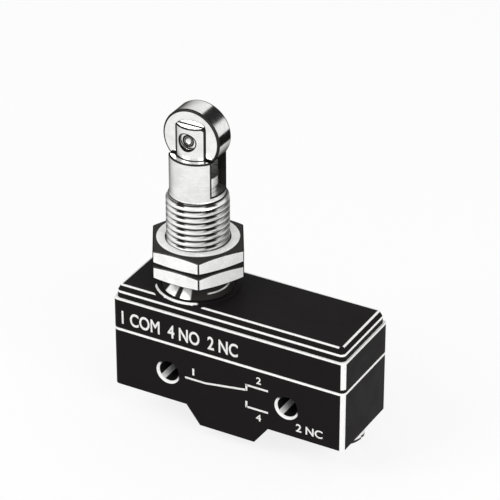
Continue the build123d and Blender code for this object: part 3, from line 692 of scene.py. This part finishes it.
def barrel_painted_shade(shader):
    """Painted shade in the thread's root, thicker in two windows round the axis, on the collar outside its
    lit patches and glint, and on the edges of the tube's mouth.
    """
    axis = (axis_x, 0)
    distance = shader.radius(axis, shader.y)
    thin, thick = [shader.spread(distance, THREAD_ROOT / MM + full, THREAD_ROOT / MM + none, 1, 0)
                   for full, none in (THREAD_THIN_SHADE, THREAD_THICK_SHADE)]
    shade_windows = [shader.facing(axis, shader.y, window_direction, SHADE_WINDOW_FADE) for window_direction in THREAD_SHADE_WINDOWS]
    thread_end = (barrel_high.z - THREAD_END_FROM_RIM + THREAD_RUN_OUT) / MM
    start = shader.beyond(shader.z, (plate_face + THREAD_FROM_PLATE) / MM)
    end = shader.below(shader.z, thread_end - THREAD_SHADE_STOP)
    thread = shader.both(shader.any(thin, shader.both(thick, shader.any(*shade_windows))), start, end)
    bright = [shader.facing(axis, shader.y, patch, NARROW_FADE) for patch in COLLAR_LIT_PATCHES]
    glint = shader.both(shader.near(distance, COLLAR_GLINT_RADIUS / MM, COLLAR_GLINT_HALF, FIRM),
                        shader.facing(axis, shader.y, COLLAR_GLINT, GLINT_FADE))
    collar = shader.both(shader.reverse(start), shader.reverse(shader.any(glint, *bright)))
    top = shader.beyond(shader.z, (barrel_high.z - RIM_BREAK) / MM - MOUTH_LINE_DROP, SHARP)
    outer = shader.beyond(distance, (THREAD_ROOT - RIM_BREAK) / MM, SHARP)
    inner = shader.below(distance, BORE_RADIUS / MM + MOUTH_LINE_INNER, SHARP)
    mouth = shader.both(top, shader.any(outer, inner))
    return shader.any(thread, collar, mouth, slot_painted_shade(shader, distance))


def slot_painted_shade(shader, distance):
    """Painted shade on the walls and along the outline of the slot in the barrel's tube."""
    half = SLOT_WIDTH / 2 / MM
    aside = shader.math("ABSOLUTE", shader.y)
    above = shader.beyond(shader.z, (barrel_high.z - SLOT_DEPTH) / MM - SLOT_LINE, SHARP)
    within = shader.below(aside, half + SLOT_LINE, SHARP)
    walls = shader.beyond(aside, half - SLOT_WALL, FINE)
    outside = shader.beyond(distance, THREAD_ROOT / MM - SLOT_SKIN, SHARP)
    return shader.both(above, within, shader.any(walls, outside))


def nut_slope(low, high):
    """Drop of a nut's bevel by radius."""
    corner = (high.y - low.y) / 2 / cos(pi / 6)
    return NUT_CORNER_DROP / (corner - NUT_FACE_RADIUS)


def nut_painted_shade(node):
    """Function that paints shade on a nut's bevels, outside its round faces."""
    low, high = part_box(node)
    slope = nut_slope(low, high)

    def painted_shade(shader):
        reach = shader.math("SUBTRACT", shader.radius((axis_x, 0), shader.y), NUT_FACE_RADIUS / MM)
        drop = shader.math("MULTIPLY", reach, slope)
        above = shader.beyond(shader.math("ADD", shader.z, drop), high.z / MM - NUT_LINE, CRISP)
        under = shader.below(shader.math("SUBTRACT", shader.z, drop), low.z / MM + NUT_LINE, CRISP)
        return shader.both(shader.beyond(reach, NUT_FACE_CLEARANCE, CRISP), shader.any(above, under))

    return painted_shade


def plunger_painted_shade(shader):
    """Painted shade along the outlines of the cheeks and their left side, and round the recesses about the
    axle.
    """
    x = shader.math("ABSOLUTE", shader.math("SUBTRACT", shader.x, axis_x / MM))
    y = shader.math("ABSOLUTE", shader.y)
    top = plunger_high.z / MM
    corner = CHEEK_CORNER_RADIUS / MM
    half = sqrt(PLUNGER_RADIUS ** 2 - (ROLLER_GAP / 2) ** 2) / MM
    across = shader.math("SUBTRACT", x, half - corner)
    up = shader.math("SUBTRACT", shader.z, top - corner)
    round_part = shader.length(*[shader.math("MAXIMUM", side, 0) for side in (across, up)])
    flat_part = shader.math("MINIMUM", shader.any(across, up), 0)
    border = shader.beyond(shader.math("ADD", round_part, flat_part), corner - CHEEK_LINE, SHARP)
    left = shader.beyond(shader.math("SUBTRACT", axis_x / MM, shader.x), half - CHEEK_SHADE, FIRM)
    cheek = shader.beyond(shader.z, top - CHEEK_HEIGHT / MM, SHARP)
    distance = shader.radius((axis_x, 0), shader.y)
    rim = shader.any(shader.beyond(distance, PLUNGER_RADIUS / MM - CHEEK_TOP_RIM, SHARP),
                     shader.below(y, ROLLER_GAP / 2 / MM + CHEEK_INNER_RIM, SHARP))
    inside = shader.both(shader.beyond(shader.z, top - SKIN, FINEST), shader.reverse(rim))
    outline = shader.both(shader.any(border, left), cheek, shader.reverse(inside))
    from_axle = shader.radius((axis_x, roller_z), shader.z)
    recess = shader.both(shader.near(from_axle, RECESS_RADIUS / MM + RECESS_OUTSET, RECESS_LINE, SHARP),
                         shader.beyond(y, axle_high.y / MM + SKIN, FINE))
    return shader.any(outline, recess)


def axle_painted_shade(shader):
    """Painted shade in a dark ring round the dimple in the axle's ends."""
    return shader.beyond(shader.radius((axis_x, roller_z), shader.z), DIMPLE_RADIUS / MM + DIMPLE_RIM, SHARP)


def roller_painted_shade(shader):
    """Painted shade on the rounded rims of the roller."""
    half = (roller_high.y - roller_low.y) / 2
    radius = (roller_high.z - roller_low.z) / 2
    side = shader.beyond(shader.math("ABSOLUTE", shader.y), half / MM - ROLLER_LINE, SHARP)
    distance = shader.radius((axis_x, roller_z), shader.z)
    return shader.both(side, shader.beyond(distance, radius / MM - ROLLER_LINE, SHARP))


def screw_painted_shade(node):
    """Function that paints shade on the bevelled rim of a terminal screw's head."""
    low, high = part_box(node)

    def painted_shade(shader):
        distance = shader.radius(((low.x + high.x) / 2, 0), shader.y)
        outer = shader.beyond(distance, (high.y - SCREW_HEAD_BEVEL) / MM - SCREW_OVERLAP, SHARP)
        return shader.both(outer, shader.below(shader.z, (low.z + SCREW_HEAD_BEVEL) / MM + SCREW_LINE, SHARP))

    return painted_shade


def simple(name, tones, roughness, scale=1.2, depth=0.01):
    """Plain material with a little variation of tone, gloss and surface."""
    shader = Shader(name)
    cloud = shader.noise(scale, detail=3)
    shader.bump(shader.noise(scale * BUMP_FINENESS, detail=3), depth)
    return shader.finish(shader.mix(shader.spread(cloud, *TONE_RANGE), *tones),
                         shader.spread(cloud, *GLOSS_RANGE, *roughness))


def plated(name, painted_shade=None):
    """Bright plating of a nut or a screw."""
    return metal("plated_" + name, PLATE_WHITE, (0.3, 0.42), marks=EVEN_MARKS, metallic=0.2, painted_shade=painted_shade)


def make_materials():
    """Every material by name."""
    screws = {node: plated(node, screw_painted_shade(node)) for node in ("com_screw", "no_screw", "nc_screw")}
    return {
        **screws,
        "case": plastic("phenolic_case", case_highlights),
        "cover": plastic("phenolic_cover", cover_highlights),
        "plate": plastic("phenolic_plate", plate_highlights),
        "barrel": metal("plated_barrel", PLATE_WHITE, (0.26, 0.36), 0.0015, BARREL_MARKS, painted_shade=barrel_painted_shade),
        "nut": plated("nut"),
        "nut_lower": plated("nut_lower", nut_painted_shade("lock_nut_lower")),
        "nut_upper": plated("nut_upper", nut_painted_shade("lock_nut_upper")),
        # Painted shade on the rounded edge strips
        "edge": metal("painted_shade_edge", EDGE_SHADE_BLACK, (0.35, 0.5), marks=EVEN_MARKS),
        "plunger": metal("turned_plunger", PLATE_WHITE, (0.18, 0.3), painted_shade=plunger_painted_shade),
        "roller": metal("ground_roller", PLATE_WHITE, (0.1, 0.18), 0.002, ROLLER_MARKS, painted_shade=roller_painted_shade),
        "axle": metal("staked_axle", PLATE_WHITE, (0.25, 0.4), marks=EVEN_MARKS, painted_shade=axle_painted_shade),
        "spring": metal("spring_wire", WIRE_GREY, (0.25, 0.4)),
        "screw": metal("plated_screw", SCREW_GREY, (0.3, 0.45), marks=EVEN_MARKS),
        "brass": metal("rolled_brass", BRASS, (0.24, 0.38), marks=BRASS_MARKS),
        "blade": metal("rolled_copper", COPPER, (0.22, 0.36), marks=BLADE_MARKS),
        "silver": metal("contact_silver", SILVER, (0.3, 0.45)),
        "rubber": simple("rubber", RUBBER_BLACK, (0.6, 0.8)),
        "pin": simple("pin_plastic", PIN_RED, (0.35, 0.5)),
        "print": simple("printed_ink", INK_WHITE, (0.5, 0.7), scale=3.0, depth=0.004),
    }


def helix_rings(bm, low, high):
    """Threaded stretch: rows of points that climb one pitch a turn, cut off level at both ends."""
    turns = ceil((high - low) / THREAD_PITCH)
    rows = THREAD_ROWS * (turns + 1)
    grid = []
    for k in range(rows + 1):
        phase = (k % THREAD_ROWS) / THREAD_ROWS
        depth = max(0, abs(2 * phase - 1) - THREAD_CREST) / (1 - THREAD_CREST)
        thread = THREAD_RADIUS - depth * (THREAD_RADIUS - THREAD_ROOT)
        row = []
        for j in range(ROUND_STEPS):
            z = low + (k / THREAD_ROWS + j / ROUND_STEPS - 1) * THREAD_PITCH
            z = min(max(z, low), high)
            lead_in = THREAD_ROOT + (z - low) / THREAD_LEAD_IN * (THREAD_RADIUS - THREAD_ROOT)
            run_out = THREAD_ROOT + (high - z) / THREAD_RUN_OUT * (THREAD_RADIUS - THREAD_ROOT)
            radius = min(thread, lead_in, run_out)
            angle = 2 * pi * j / ROUND_STEPS
            row.append(bm.verts.new((axis_x + radius * cos(angle), radius * sin(angle), z)))
        grid.append(row)
    for k in range(rows):
        for j in range(ROUND_STEPS - 1):
            bm.faces.new((grid[k][j], grid[k][j + 1], grid[k + 1][j + 1], grid[k + 1][j]))
        near, far = grid[min(k + THREAD_ROWS, rows)][0], grid[min(k + 1 + THREAD_ROWS, rows)][0]
        if near is not far:
            bm.faces.new((grid[k][-1], near, far, grid[k + 1][-1]))
        else:
            bm.faces.new((grid[k][-1], near, grid[k + 1][-1]))
    return grid[0], grid[-1]


def circle(bm, radius, z):
    """Ring of points round the barrel's axis."""
    angles = [2 * pi * j / ROUND_STEPS for j in range(ROUND_STEPS)]
    return [bm.verts.new((axis_x + radius * cos(angle), radius * sin(angle), z)) for angle in angles]


def build_barrel():
    """Barrel with a conical collar, a helical thread and a tube that is slotted for the roller."""
    bm = bmesh.new()
    flange = (barrel_high.x - barrel_low.x) / 2
    flange_top = barrel_low.z + FLANGE_THICKNESS
    rim = barrel_high.z
    bottom, top = helix_rings(bm, plate_face + THREAD_FROM_PLATE, rim - THREAD_END_FROM_RIM + THREAD_RUN_OUT)
    neck_foot = plate_face + COLLAR_RADIUS - THREAD_ROOT
    below = [circle(bm, *point) for point in (
        (SPRING_BORE_RADIUS, barrel_low.z), (flange, barrel_low.z), (flange, flange_top),
        (COLLAR_RADIUS, flange_top), (COLLAR_RADIUS, plate_face), (THREAD_ROOT, neck_foot))]
    above = [circle(bm, *point) for point in (
        (THREAD_ROOT, rim - RIM_BREAK), (THREAD_ROOT - RIM_BREAK, rim), (BORE_RADIUS, rim),
        (BORE_RADIUS, rim - SHOULDER_FROM_RIM), (SPRING_BORE_RADIUS, rim - SHOULDER_FROM_RIM))]
    ring_faces(bm, below + [bottom], closed=False)
    ring_faces(bm, [top] + above + [below[0]], closed=False)
    barrel = as_object("threaded_barrel", finish_mesh(bm, "threaded_barrel"))
    wide, slot_floor, slot_top = 2 * THREAD_RADIUS, rim - SLOT_DEPTH, rim + CUT_MARGIN
    slot = [(-wide, slot_floor), (wide, slot_floor), (wide, slot_top), (-wide, slot_top)]
    return combine(barrel, prism("slot_tool", slot, SLOT_WIDTH / 2, (axis_x, 0, 0)))


def build_nut(name, node):
    """Hexagon nut, bevelled to round faces."""
    low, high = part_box(node)
    half_flats = (high.y - low.y) / 2
    slope = nut_slope(low, high)
    bm = bmesh.new()
    rings = [[] for _ in range(6)]
    for j in range(ROUND_STEPS):
        angle = 2 * pi * j / ROUND_STEPS
        side = angle - pi / 6 - floor(angle / (pi / 3) + ROUNDING) * pi / 3
        edge = half_flats / cos(side)
        drop = slope * (edge - NUT_FACE_RADIUS)
        section = [(NUT_BORE_RADIUS, low.z), (NUT_FACE_RADIUS, low.z), (edge, low.z + drop),
                   (edge, high.z - drop), (NUT_FACE_RADIUS, high.z), (NUT_BORE_RADIUS, high.z)]
        for ring, (radius, z) in zip(rings, section):
            ring.append(bm.verts.new((axis_x + radius * cos(angle), radius * sin(angle), z)))
    ring_faces(bm, rings)
    return soften(as_object(name, finish_mesh(bm, name)), NUT_EDGE)


def arc(centre, radius, start, end, steps):
    """Points on an arc, angles in degrees."""
    angles = [radians(start + (end - start) * i / steps) for i in range(steps + 1)]
    return [(centre[0] + radius * cos(a), centre[1] + radius * sin(a)) for a in angles]


def build_plunger():
    """Round plunger: stop flange, ring groove and two cheeks for the roller."""
    foot, top, cut_top = plunger_low.z, plunger_high.z, plunger_high.z + CUT_MARGIN
    saddle = top - CHEEK_HEIGHT
    flange = (plunger_high.y - plunger_low.y) / 2
    flange_top = foot + PLUNGER_FLANGE_THICKNESS
    groove = (ring_low.z + ring_high.z) / 2 - RING_GROOVE_WIDTH / 2
    groove_top = groove + RING_GROOVE_WIDTH
    groove_radius = PLUNGER_RADIUS - RING_GROOVE_DEPTH
    crown = saddle - CROWN_THICKNESS
    body = lathe("cheeked_plunger", [
        (PUSHER_BORE_RADIUS, foot), (flange, foot), (flange, flange_top), (PLUNGER_RADIUS, flange_top),
        (PLUNGER_RADIUS, groove), (groove_radius, groove), (groove_radius, groove_top),
        (PLUNGER_RADIUS, groove_top), (PLUNGER_RADIUS, cut_top), (0, cut_top), (0, crown),
        (PUSHER_BORE_RADIUS, crown)], (axis_x, 0, 0))
    half = sqrt(PLUNGER_RADIUS ** 2 - (ROLLER_GAP / 2) ** 2)
    wide = 2 * PLUNGER_RADIUS
    round_x, round_z = half - CHEEK_CORNER_RADIUS, top - CHEEK_CORNER_RADIUS
    gauge = [(-wide, foot - CUT_MARGIN), (wide, foot - CUT_MARGIN), (wide, saddle), (half, saddle)]
    gauge += arc((round_x, round_z), CHEEK_CORNER_RADIUS, 0, 90, CORNER_STEPS)
    gauge += arc((-round_x, round_z), CHEEK_CORNER_RADIUS, 90, 180, CORNER_STEPS)
    gauge += [(-half, saddle), (-wide, saddle)]
    combine(body, prism("cheek_tool", gauge, wide, (axis_x, 0, 0)), "INTERSECT")
    slot = [(-wide, saddle), (wide, saddle), (wide, cut_top), (-wide, cut_top)]
    combine(body, prism("slot_tool", slot, ROLLER_GAP / 2, (axis_x, 0, 0)))
    cut_round(body, AXLE_HOLE_RADIUS, -wide, wide)
    for side in (-1, 1):
        cut_round(body, RECESS_RADIUS, side * axle_high.y, side * wide)
    return clean(body, CUT_LEFTOVER)


def cut_round(piece, radius, start, end):
    """Cuts a round hole about the roller's axis."""
    outline = [(0, start), (radius, start), (radius, end), (0, end)]
    combine(piece, lathe("hole_tool", outline, (axis_x, 0, roller_z), axis="Y", steps=HOLE_STEPS))


def build_roller():
    """Roller with rounded rims."""
    radius = (roller_high.z - roller_low.z) / 2
    half = (roller_high.y - roller_low.y) / 2
    near, far = radius - ROLLER_EDGE_RADIUS, half - ROLLER_EDGE_RADIUS
    outline = [(ROLLER_BORE_RADIUS, half), (ROLLER_BORE_RADIUS, -half), (near - ROLLER_EDGE_LOOP, -half)]
    outline += arc((near, -far), ROLLER_EDGE_RADIUS, -90, 0, ROLLER_EDGE_STEPS)
    outline += [(radius, ROLLER_EDGE_LOOP - far), (radius, far - ROLLER_EDGE_LOOP)]
    outline += arc((near, far), ROLLER_EDGE_RADIUS, 0, 90, ROLLER_EDGE_STEPS)
    outline += [(near - ROLLER_EDGE_LOOP, half)]
    return lathe("ground_roller", outline, (axis_x, 0, roller_z), axis="Y")


def build_axle():
    """Axle pin with a staked dimple in each end."""
    half = axle_high.y
    radius = (axle_high.z - axle_low.z) / 2
    outline = [(0, half - DIMPLE_RADIUS), (DIMPLE_RADIUS, half), (radius, half), (radius, -half),
               (DIMPLE_RADIUS, -half), (0, -half + DIMPLE_RADIUS)]
    axle = lathe("staked_axle", outline, (axis_x, 0, roller_z), axis="Y", steps=HOLE_STEPS)
    return soften(axle, AXLE_EDGE)


def build_coil(name, size, foot, top):
    """Compression spring of round wire between two heights, its end turns closed."""
    coil_radius, wire_radius, turns = size
    closed = COIL_CLOSING * 2 * wire_radius
    pitch = (top - foot - 2 * wire_radius - 2 * closed) / (turns - 2)
    bm = bmesh.new()
    rings = []
    for i in range(turns * COIL_STEPS + 1):
        turn = i / COIL_STEPS
        angle = 2 * pi * turn
        climb = closed * (min(turn, 1) + max(turn - turns + 1, 0)) + pitch * min(max(turn - 1, 0), turns - 2)
        out = Vector((cos(angle), sin(angle), 0))
        slope = closed if turn < 1 or turn > turns - 1 else pitch
        along = Vector((-sin(angle), cos(angle), slope / (2 * pi * coil_radius))).normalized()
        centre = Vector((axis_x, 0, foot + wire_radius + climb)) + out * coil_radius
        upward = out.cross(along)
        ring = []
        for j in range(WIRE_SIDES):
            side = 2 * pi * j / WIRE_SIDES
            ring.append(bm.verts.new(centre + (out * cos(side) + upward * sin(side)) * wire_radius))
        rings.append(ring)
    ring_faces(bm, rings, closed=False)
    bm.faces.new(rings[0])
    bm.faces.new(rings[-1])
    return as_object(name, finish_mesh(bm, name))


def build_springs(material):
    """Both springs of the plunger."""
    crown = plunger_high.z - CHEEK_HEIGHT - CROWN_THICKNESS
    seat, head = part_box("spring_seat")[1].z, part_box("pusher")[1].z
    coil = build_coil("return_coil", RETURN_COIL, seat, plunger_low.z)
    dress(coil, "body", [material], ["return_spring"])
    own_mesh(coil)
    coil = build_coil("overtravel_coil", OVERTRAVEL_COIL, head, crown)
    dress(coil, "plunger", [material], ["overtravel_spring"])
    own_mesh(coil)


def refill_letters(mesh):
    """Merges the points that the weight folds over in narrow notches, and fills the flat faces anew."""
    bm = bmesh.new()
    bm.from_mesh(mesh)
    bmesh.ops.remove_doubles(bm, verts=bm.verts, dist=LETTER_MERGE)
    flats = [face for face in bm.faces if abs(face.normal.z) > max(abs(face.normal.x), abs(face.normal.y))]
    bmesh.ops.delete(bm, geom=flats, context="FACES_ONLY")
    for side in (1, -1):
        layer = [vertex for vertex in bm.verts if vertex.co.z * side > 0]
        bmesh.ops.remove_doubles(bm, verts=layer, dist=LETTER_NOTCH)
    for side in (1, -1):
        rim = [edge for edge in bm.edges if len(edge.link_faces) == 1
               and all(vertex.co.z * side > 0 for vertex in edge.verts)]
        bmesh.ops.triangle_fill(bm, use_beauty=True, edges=rim)
    bmesh.ops.delete(bm, geom=[edge for edge in bm.edges if not edge.link_faces], context="EDGES")
    bm.to_mesh(mesh)
    bm.free()


def fitted(value, values, middle, size):
    """Place of a value when a range of values is fitted to a size about a middle."""
    return middle + size * ((value - min(values)) / (max(values) - min(values)) - 0.5)


def text_mark(name, words, width, height, place):
    """Printed words on the front face, fitted to a size, as a thin mesh."""
    curve = bpy.data.curves.new(name, "FONT")
    curve.body = words
    curve.offset = PRINT_WEIGHT
    curve.extrude = PRINT_THICKNESS
    made = bpy.data.objects.new(name + "_curve", curve)
    bpy.context.scene.collection.objects.link(made)
    bpy.context.view_layer.update()
    mesh = bpy.data.meshes.new_from_object(made.evaluated_get(bpy.context.evaluated_depsgraph_get()))
    bpy.data.objects.remove(made)
    refill_letters(mesh)
    across = [vertex.co.x for vertex in mesh.vertices]
    up = [vertex.co.y for vertex in mesh.vertices]
    for vertex in mesh.vertices:
        x = fitted(vertex.co.x, across, place[0], width)
        z = fitted(vertex.co.y, up, place[1], height)
        vertex.co = Vector((x * MM, case_low.y - vertex.co.z * MM, z * MM))
    mesh.name = name
    return clean(as_object(name, mesh), CUT_LEFTOVER)


def bar_mark(name, start, end):
    """Printed straight line on the front face, as a thin mesh."""
    start, end = Vector(start), Vector(end)
    run = end - start
    side = Vector((-run.y, run.x)).normalized() * SIGN_LINE / 2
    outline = [(corner * MM)[:] for corner in (start + side, end + side, end - side, start - side)]
    return prism(name, outline, PRINT_THICKNESS * MM, (0, case_low.y, 0))


def build_print(material):
    """Names and numbers of the terminals, and the sign of a changeover contact."""
    for name, (words, width, height, place) in PRINT_WORDS.items():
        dress(text_mark("print_" + name, words, width, height, place), "body", [material])
    for index, (start, end) in enumerate(SIGN_LINES, 1):
        dress(bar_mark("print_sign_%d" % index, start, end), "body", [material])


def sheet(name, corners, coat):
    """Four-cornered flat piece of the studio."""
    mesh = bpy.data.meshes.new(name)
    mesh.from_pydata(corners, [], [(0, 1, 2, 3)])
    mesh.materials.append(coat.material)
    return as_object(name, mesh)


def make_stage():
    """Pale floor, white backdrop and soft lamps."""
    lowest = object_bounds()[0].z
    coat = Coat("floor", Base_Color=FLOOR_PALE, Roughness=FLOOR_ROUGHNESS)
    ray = coat.node("ShaderNodeLightPath").outputs
    seen = coat.math("MAXIMUM", ray["Is Camera Ray"], ray["Is Glossy Ray"])
    mixer = coat.node("ShaderNodeMixShader")
    coat.feed(mixer.inputs[0], coat.math("MULTIPLY", seen, FLOOR_GLOW))
    coat.feed(mixer.inputs[1], coat.surface.outputs[0])
    coat.feed(mixer.inputs[2], coat.node("ShaderNodeEmission").outputs[0])
    coat.feed(coat.tree.nodes["Material Output"].inputs["Surface"], mixer.outputs[0])
    ways = ((-1, -1), (1, -1), (1, 1), (-1, 1))
    floor_object = sheet("floor", [(FLOOR_HALF * x, FLOOR_HALF * y, lowest) for x, y in ways], coat)
    make_card(lowest)
    make_world()
    for name, (place, size, power) in LAMPS.items():
        lamp(name, place, size, power)


def make_card(height):
    """Dark card on the floor behind, which only reflections show."""
    along = Vector((cos(CARD_ANGLE), sin(CARD_ANGLE), 0))
    across = Vector((-along.y, along.x, 0)) * CARD_WIDTH / 2
    foot = Vector((axis_x, 0, height + CARD_LIFT))
    near, far = foot + along * CARD_NEAR, foot + along * CARD_FAR
    coat = Coat("dark_card", Base_Color=CARD_BLACK, Roughness=1, Specular_IOR_Level=0)
    card = sheet("dark_card", [near - across, far - across, far + across, near + across], coat)
    card.visible_camera = False
    card.visible_diffuse = False
    card.visible_shadow = False


def tent_wall(graph, direction, azimuth, width):
    """One on the tent's wall, and nought in the gap that lies one way."""
    across = graph.vector("DOT_PRODUCT", direction, (cos(azimuth), -sin(azimuth), 0), "Value")
    along = graph.vector("DOT_PRODUCT", direction, (sin(azimuth), cos(azimuth), 0), "Value")
    beside = graph.spread(graph.math("ABSOLUTE", across), width, width + TENT_GAP_SOFT, kind="LINEAR")
    return graph.math("MAXIMUM", beside, graph.math("LESS_THAN", along, 0))


def make_world():
    """White for the camera; a light tent with dark gaps for reflections; an even grey for the rest."""
    world = bpy.data.worlds.new("studio")
    bpy.context.scene.world = world
    world.use_nodes = True
    graph = Graph(world.node_tree)
    background = graph.tree.nodes["Background"]
    background.inputs["Color"].default_value = (1, 1, 1, 1)
    ray = graph.node("ShaderNodeLightPath").outputs
    direction = graph.node("ShaderNodeTexCoord").outputs["Generated"]
    walls = [tent_wall(graph, direction, radians(azimuth), width) for azimuth, width in TENT_GAPS]
    tent = graph.spread(graph.chain("MINIMUM", *walls), 0, 1, TENT_GAP_DARK, 1, kind="LINEAR")
    light = graph.choose(ray["Is Glossy Ray"], TENT_EVEN, tent)
    for name in ("Is Camera Ray", "Is Transmission Ray"):
        light = graph.choose(ray[name], light, 1)
    graph.feed(background.inputs["Strength"], light)


def lamp(name, place, size, power):
    """Soft square lamp, aimed at the object's middle."""
    light = bpy.data.lights.new(name, "AREA")
    light.size = size
    light.energy = power
    made = bpy.data.objects.new(name, light)
    made.location = place
    made.rotation_euler = (Vector(CAMERA_TARGET) - Vector(place)).to_track_quat("-Z", "Y").to_euler()
    bpy.context.scene.collection.objects.link(made)


def make_camera():
    """Camera at the picture's viewing angle."""
    camera = bpy.data.objects.new("camera", bpy.data.cameras.new("camera"))
    camera.data.lens = LENS
    camera.data.sensor_width = SENSOR_WIDTH
    camera.data.clip_start = CAMERA_CLIP
    flat = cos(CAMERA_ELEVATION)
    offset = Vector((sin(CAMERA_AZIMUTH) * flat, -cos(CAMERA_AZIMUTH) * flat, sin(CAMERA_ELEVATION)))
    camera.location = Vector(CAMERA_TARGET) + offset * CAMERA_DISTANCE
    camera.rotation_euler = (-offset).to_track_quat("-Z", "Y").to_euler()
    bpy.context.scene.collection.objects.link(camera)
    bpy.context.scene.camera = camera


def dress_nodes(materials):
    """Materials of the CAD nodes that stay, by their own name or else by the record's slot."""
    for entry in frame["record"]["subparts"]:
        node = entry["node"]
        key = node if node in materials else SLOT_MATERIALS[entry["material_slot"]]
        for place in frame["nodes"][node].material_slots:
            place.material = materials[key]


def main():
    """Builds and dresses every piece."""
    make_camera()
    materials = make_materials()
    dress_nodes(materials)
    edge = materials["edge"]
    dress(build_barrel(), "body", [materials["barrel"]], ["barrel"])
    for name, node in (("hexagon_nut_lower", "lock_nut_lower"), ("hexagon_nut_upper", "lock_nut_upper")):
        key = "nut_" + name.rsplit("_", 1)[1]
        dress(build_nut(name, node), node, [materials[key], edge], [node])
    dress(build_plunger(), "plunger", [materials["plunger"]], ["plunger"])
    dress(build_roller(), "roller", [materials["roller"]], ["roller"])
    dress(build_axle(), "plunger", [materials["axle"], edge], ["roller_axle"])
    build_springs(materials["spring"])
    build_print(materials["print"])
    make_stage()
    bpy.context.scene.view_settings.view_transform = "Standard"


main()
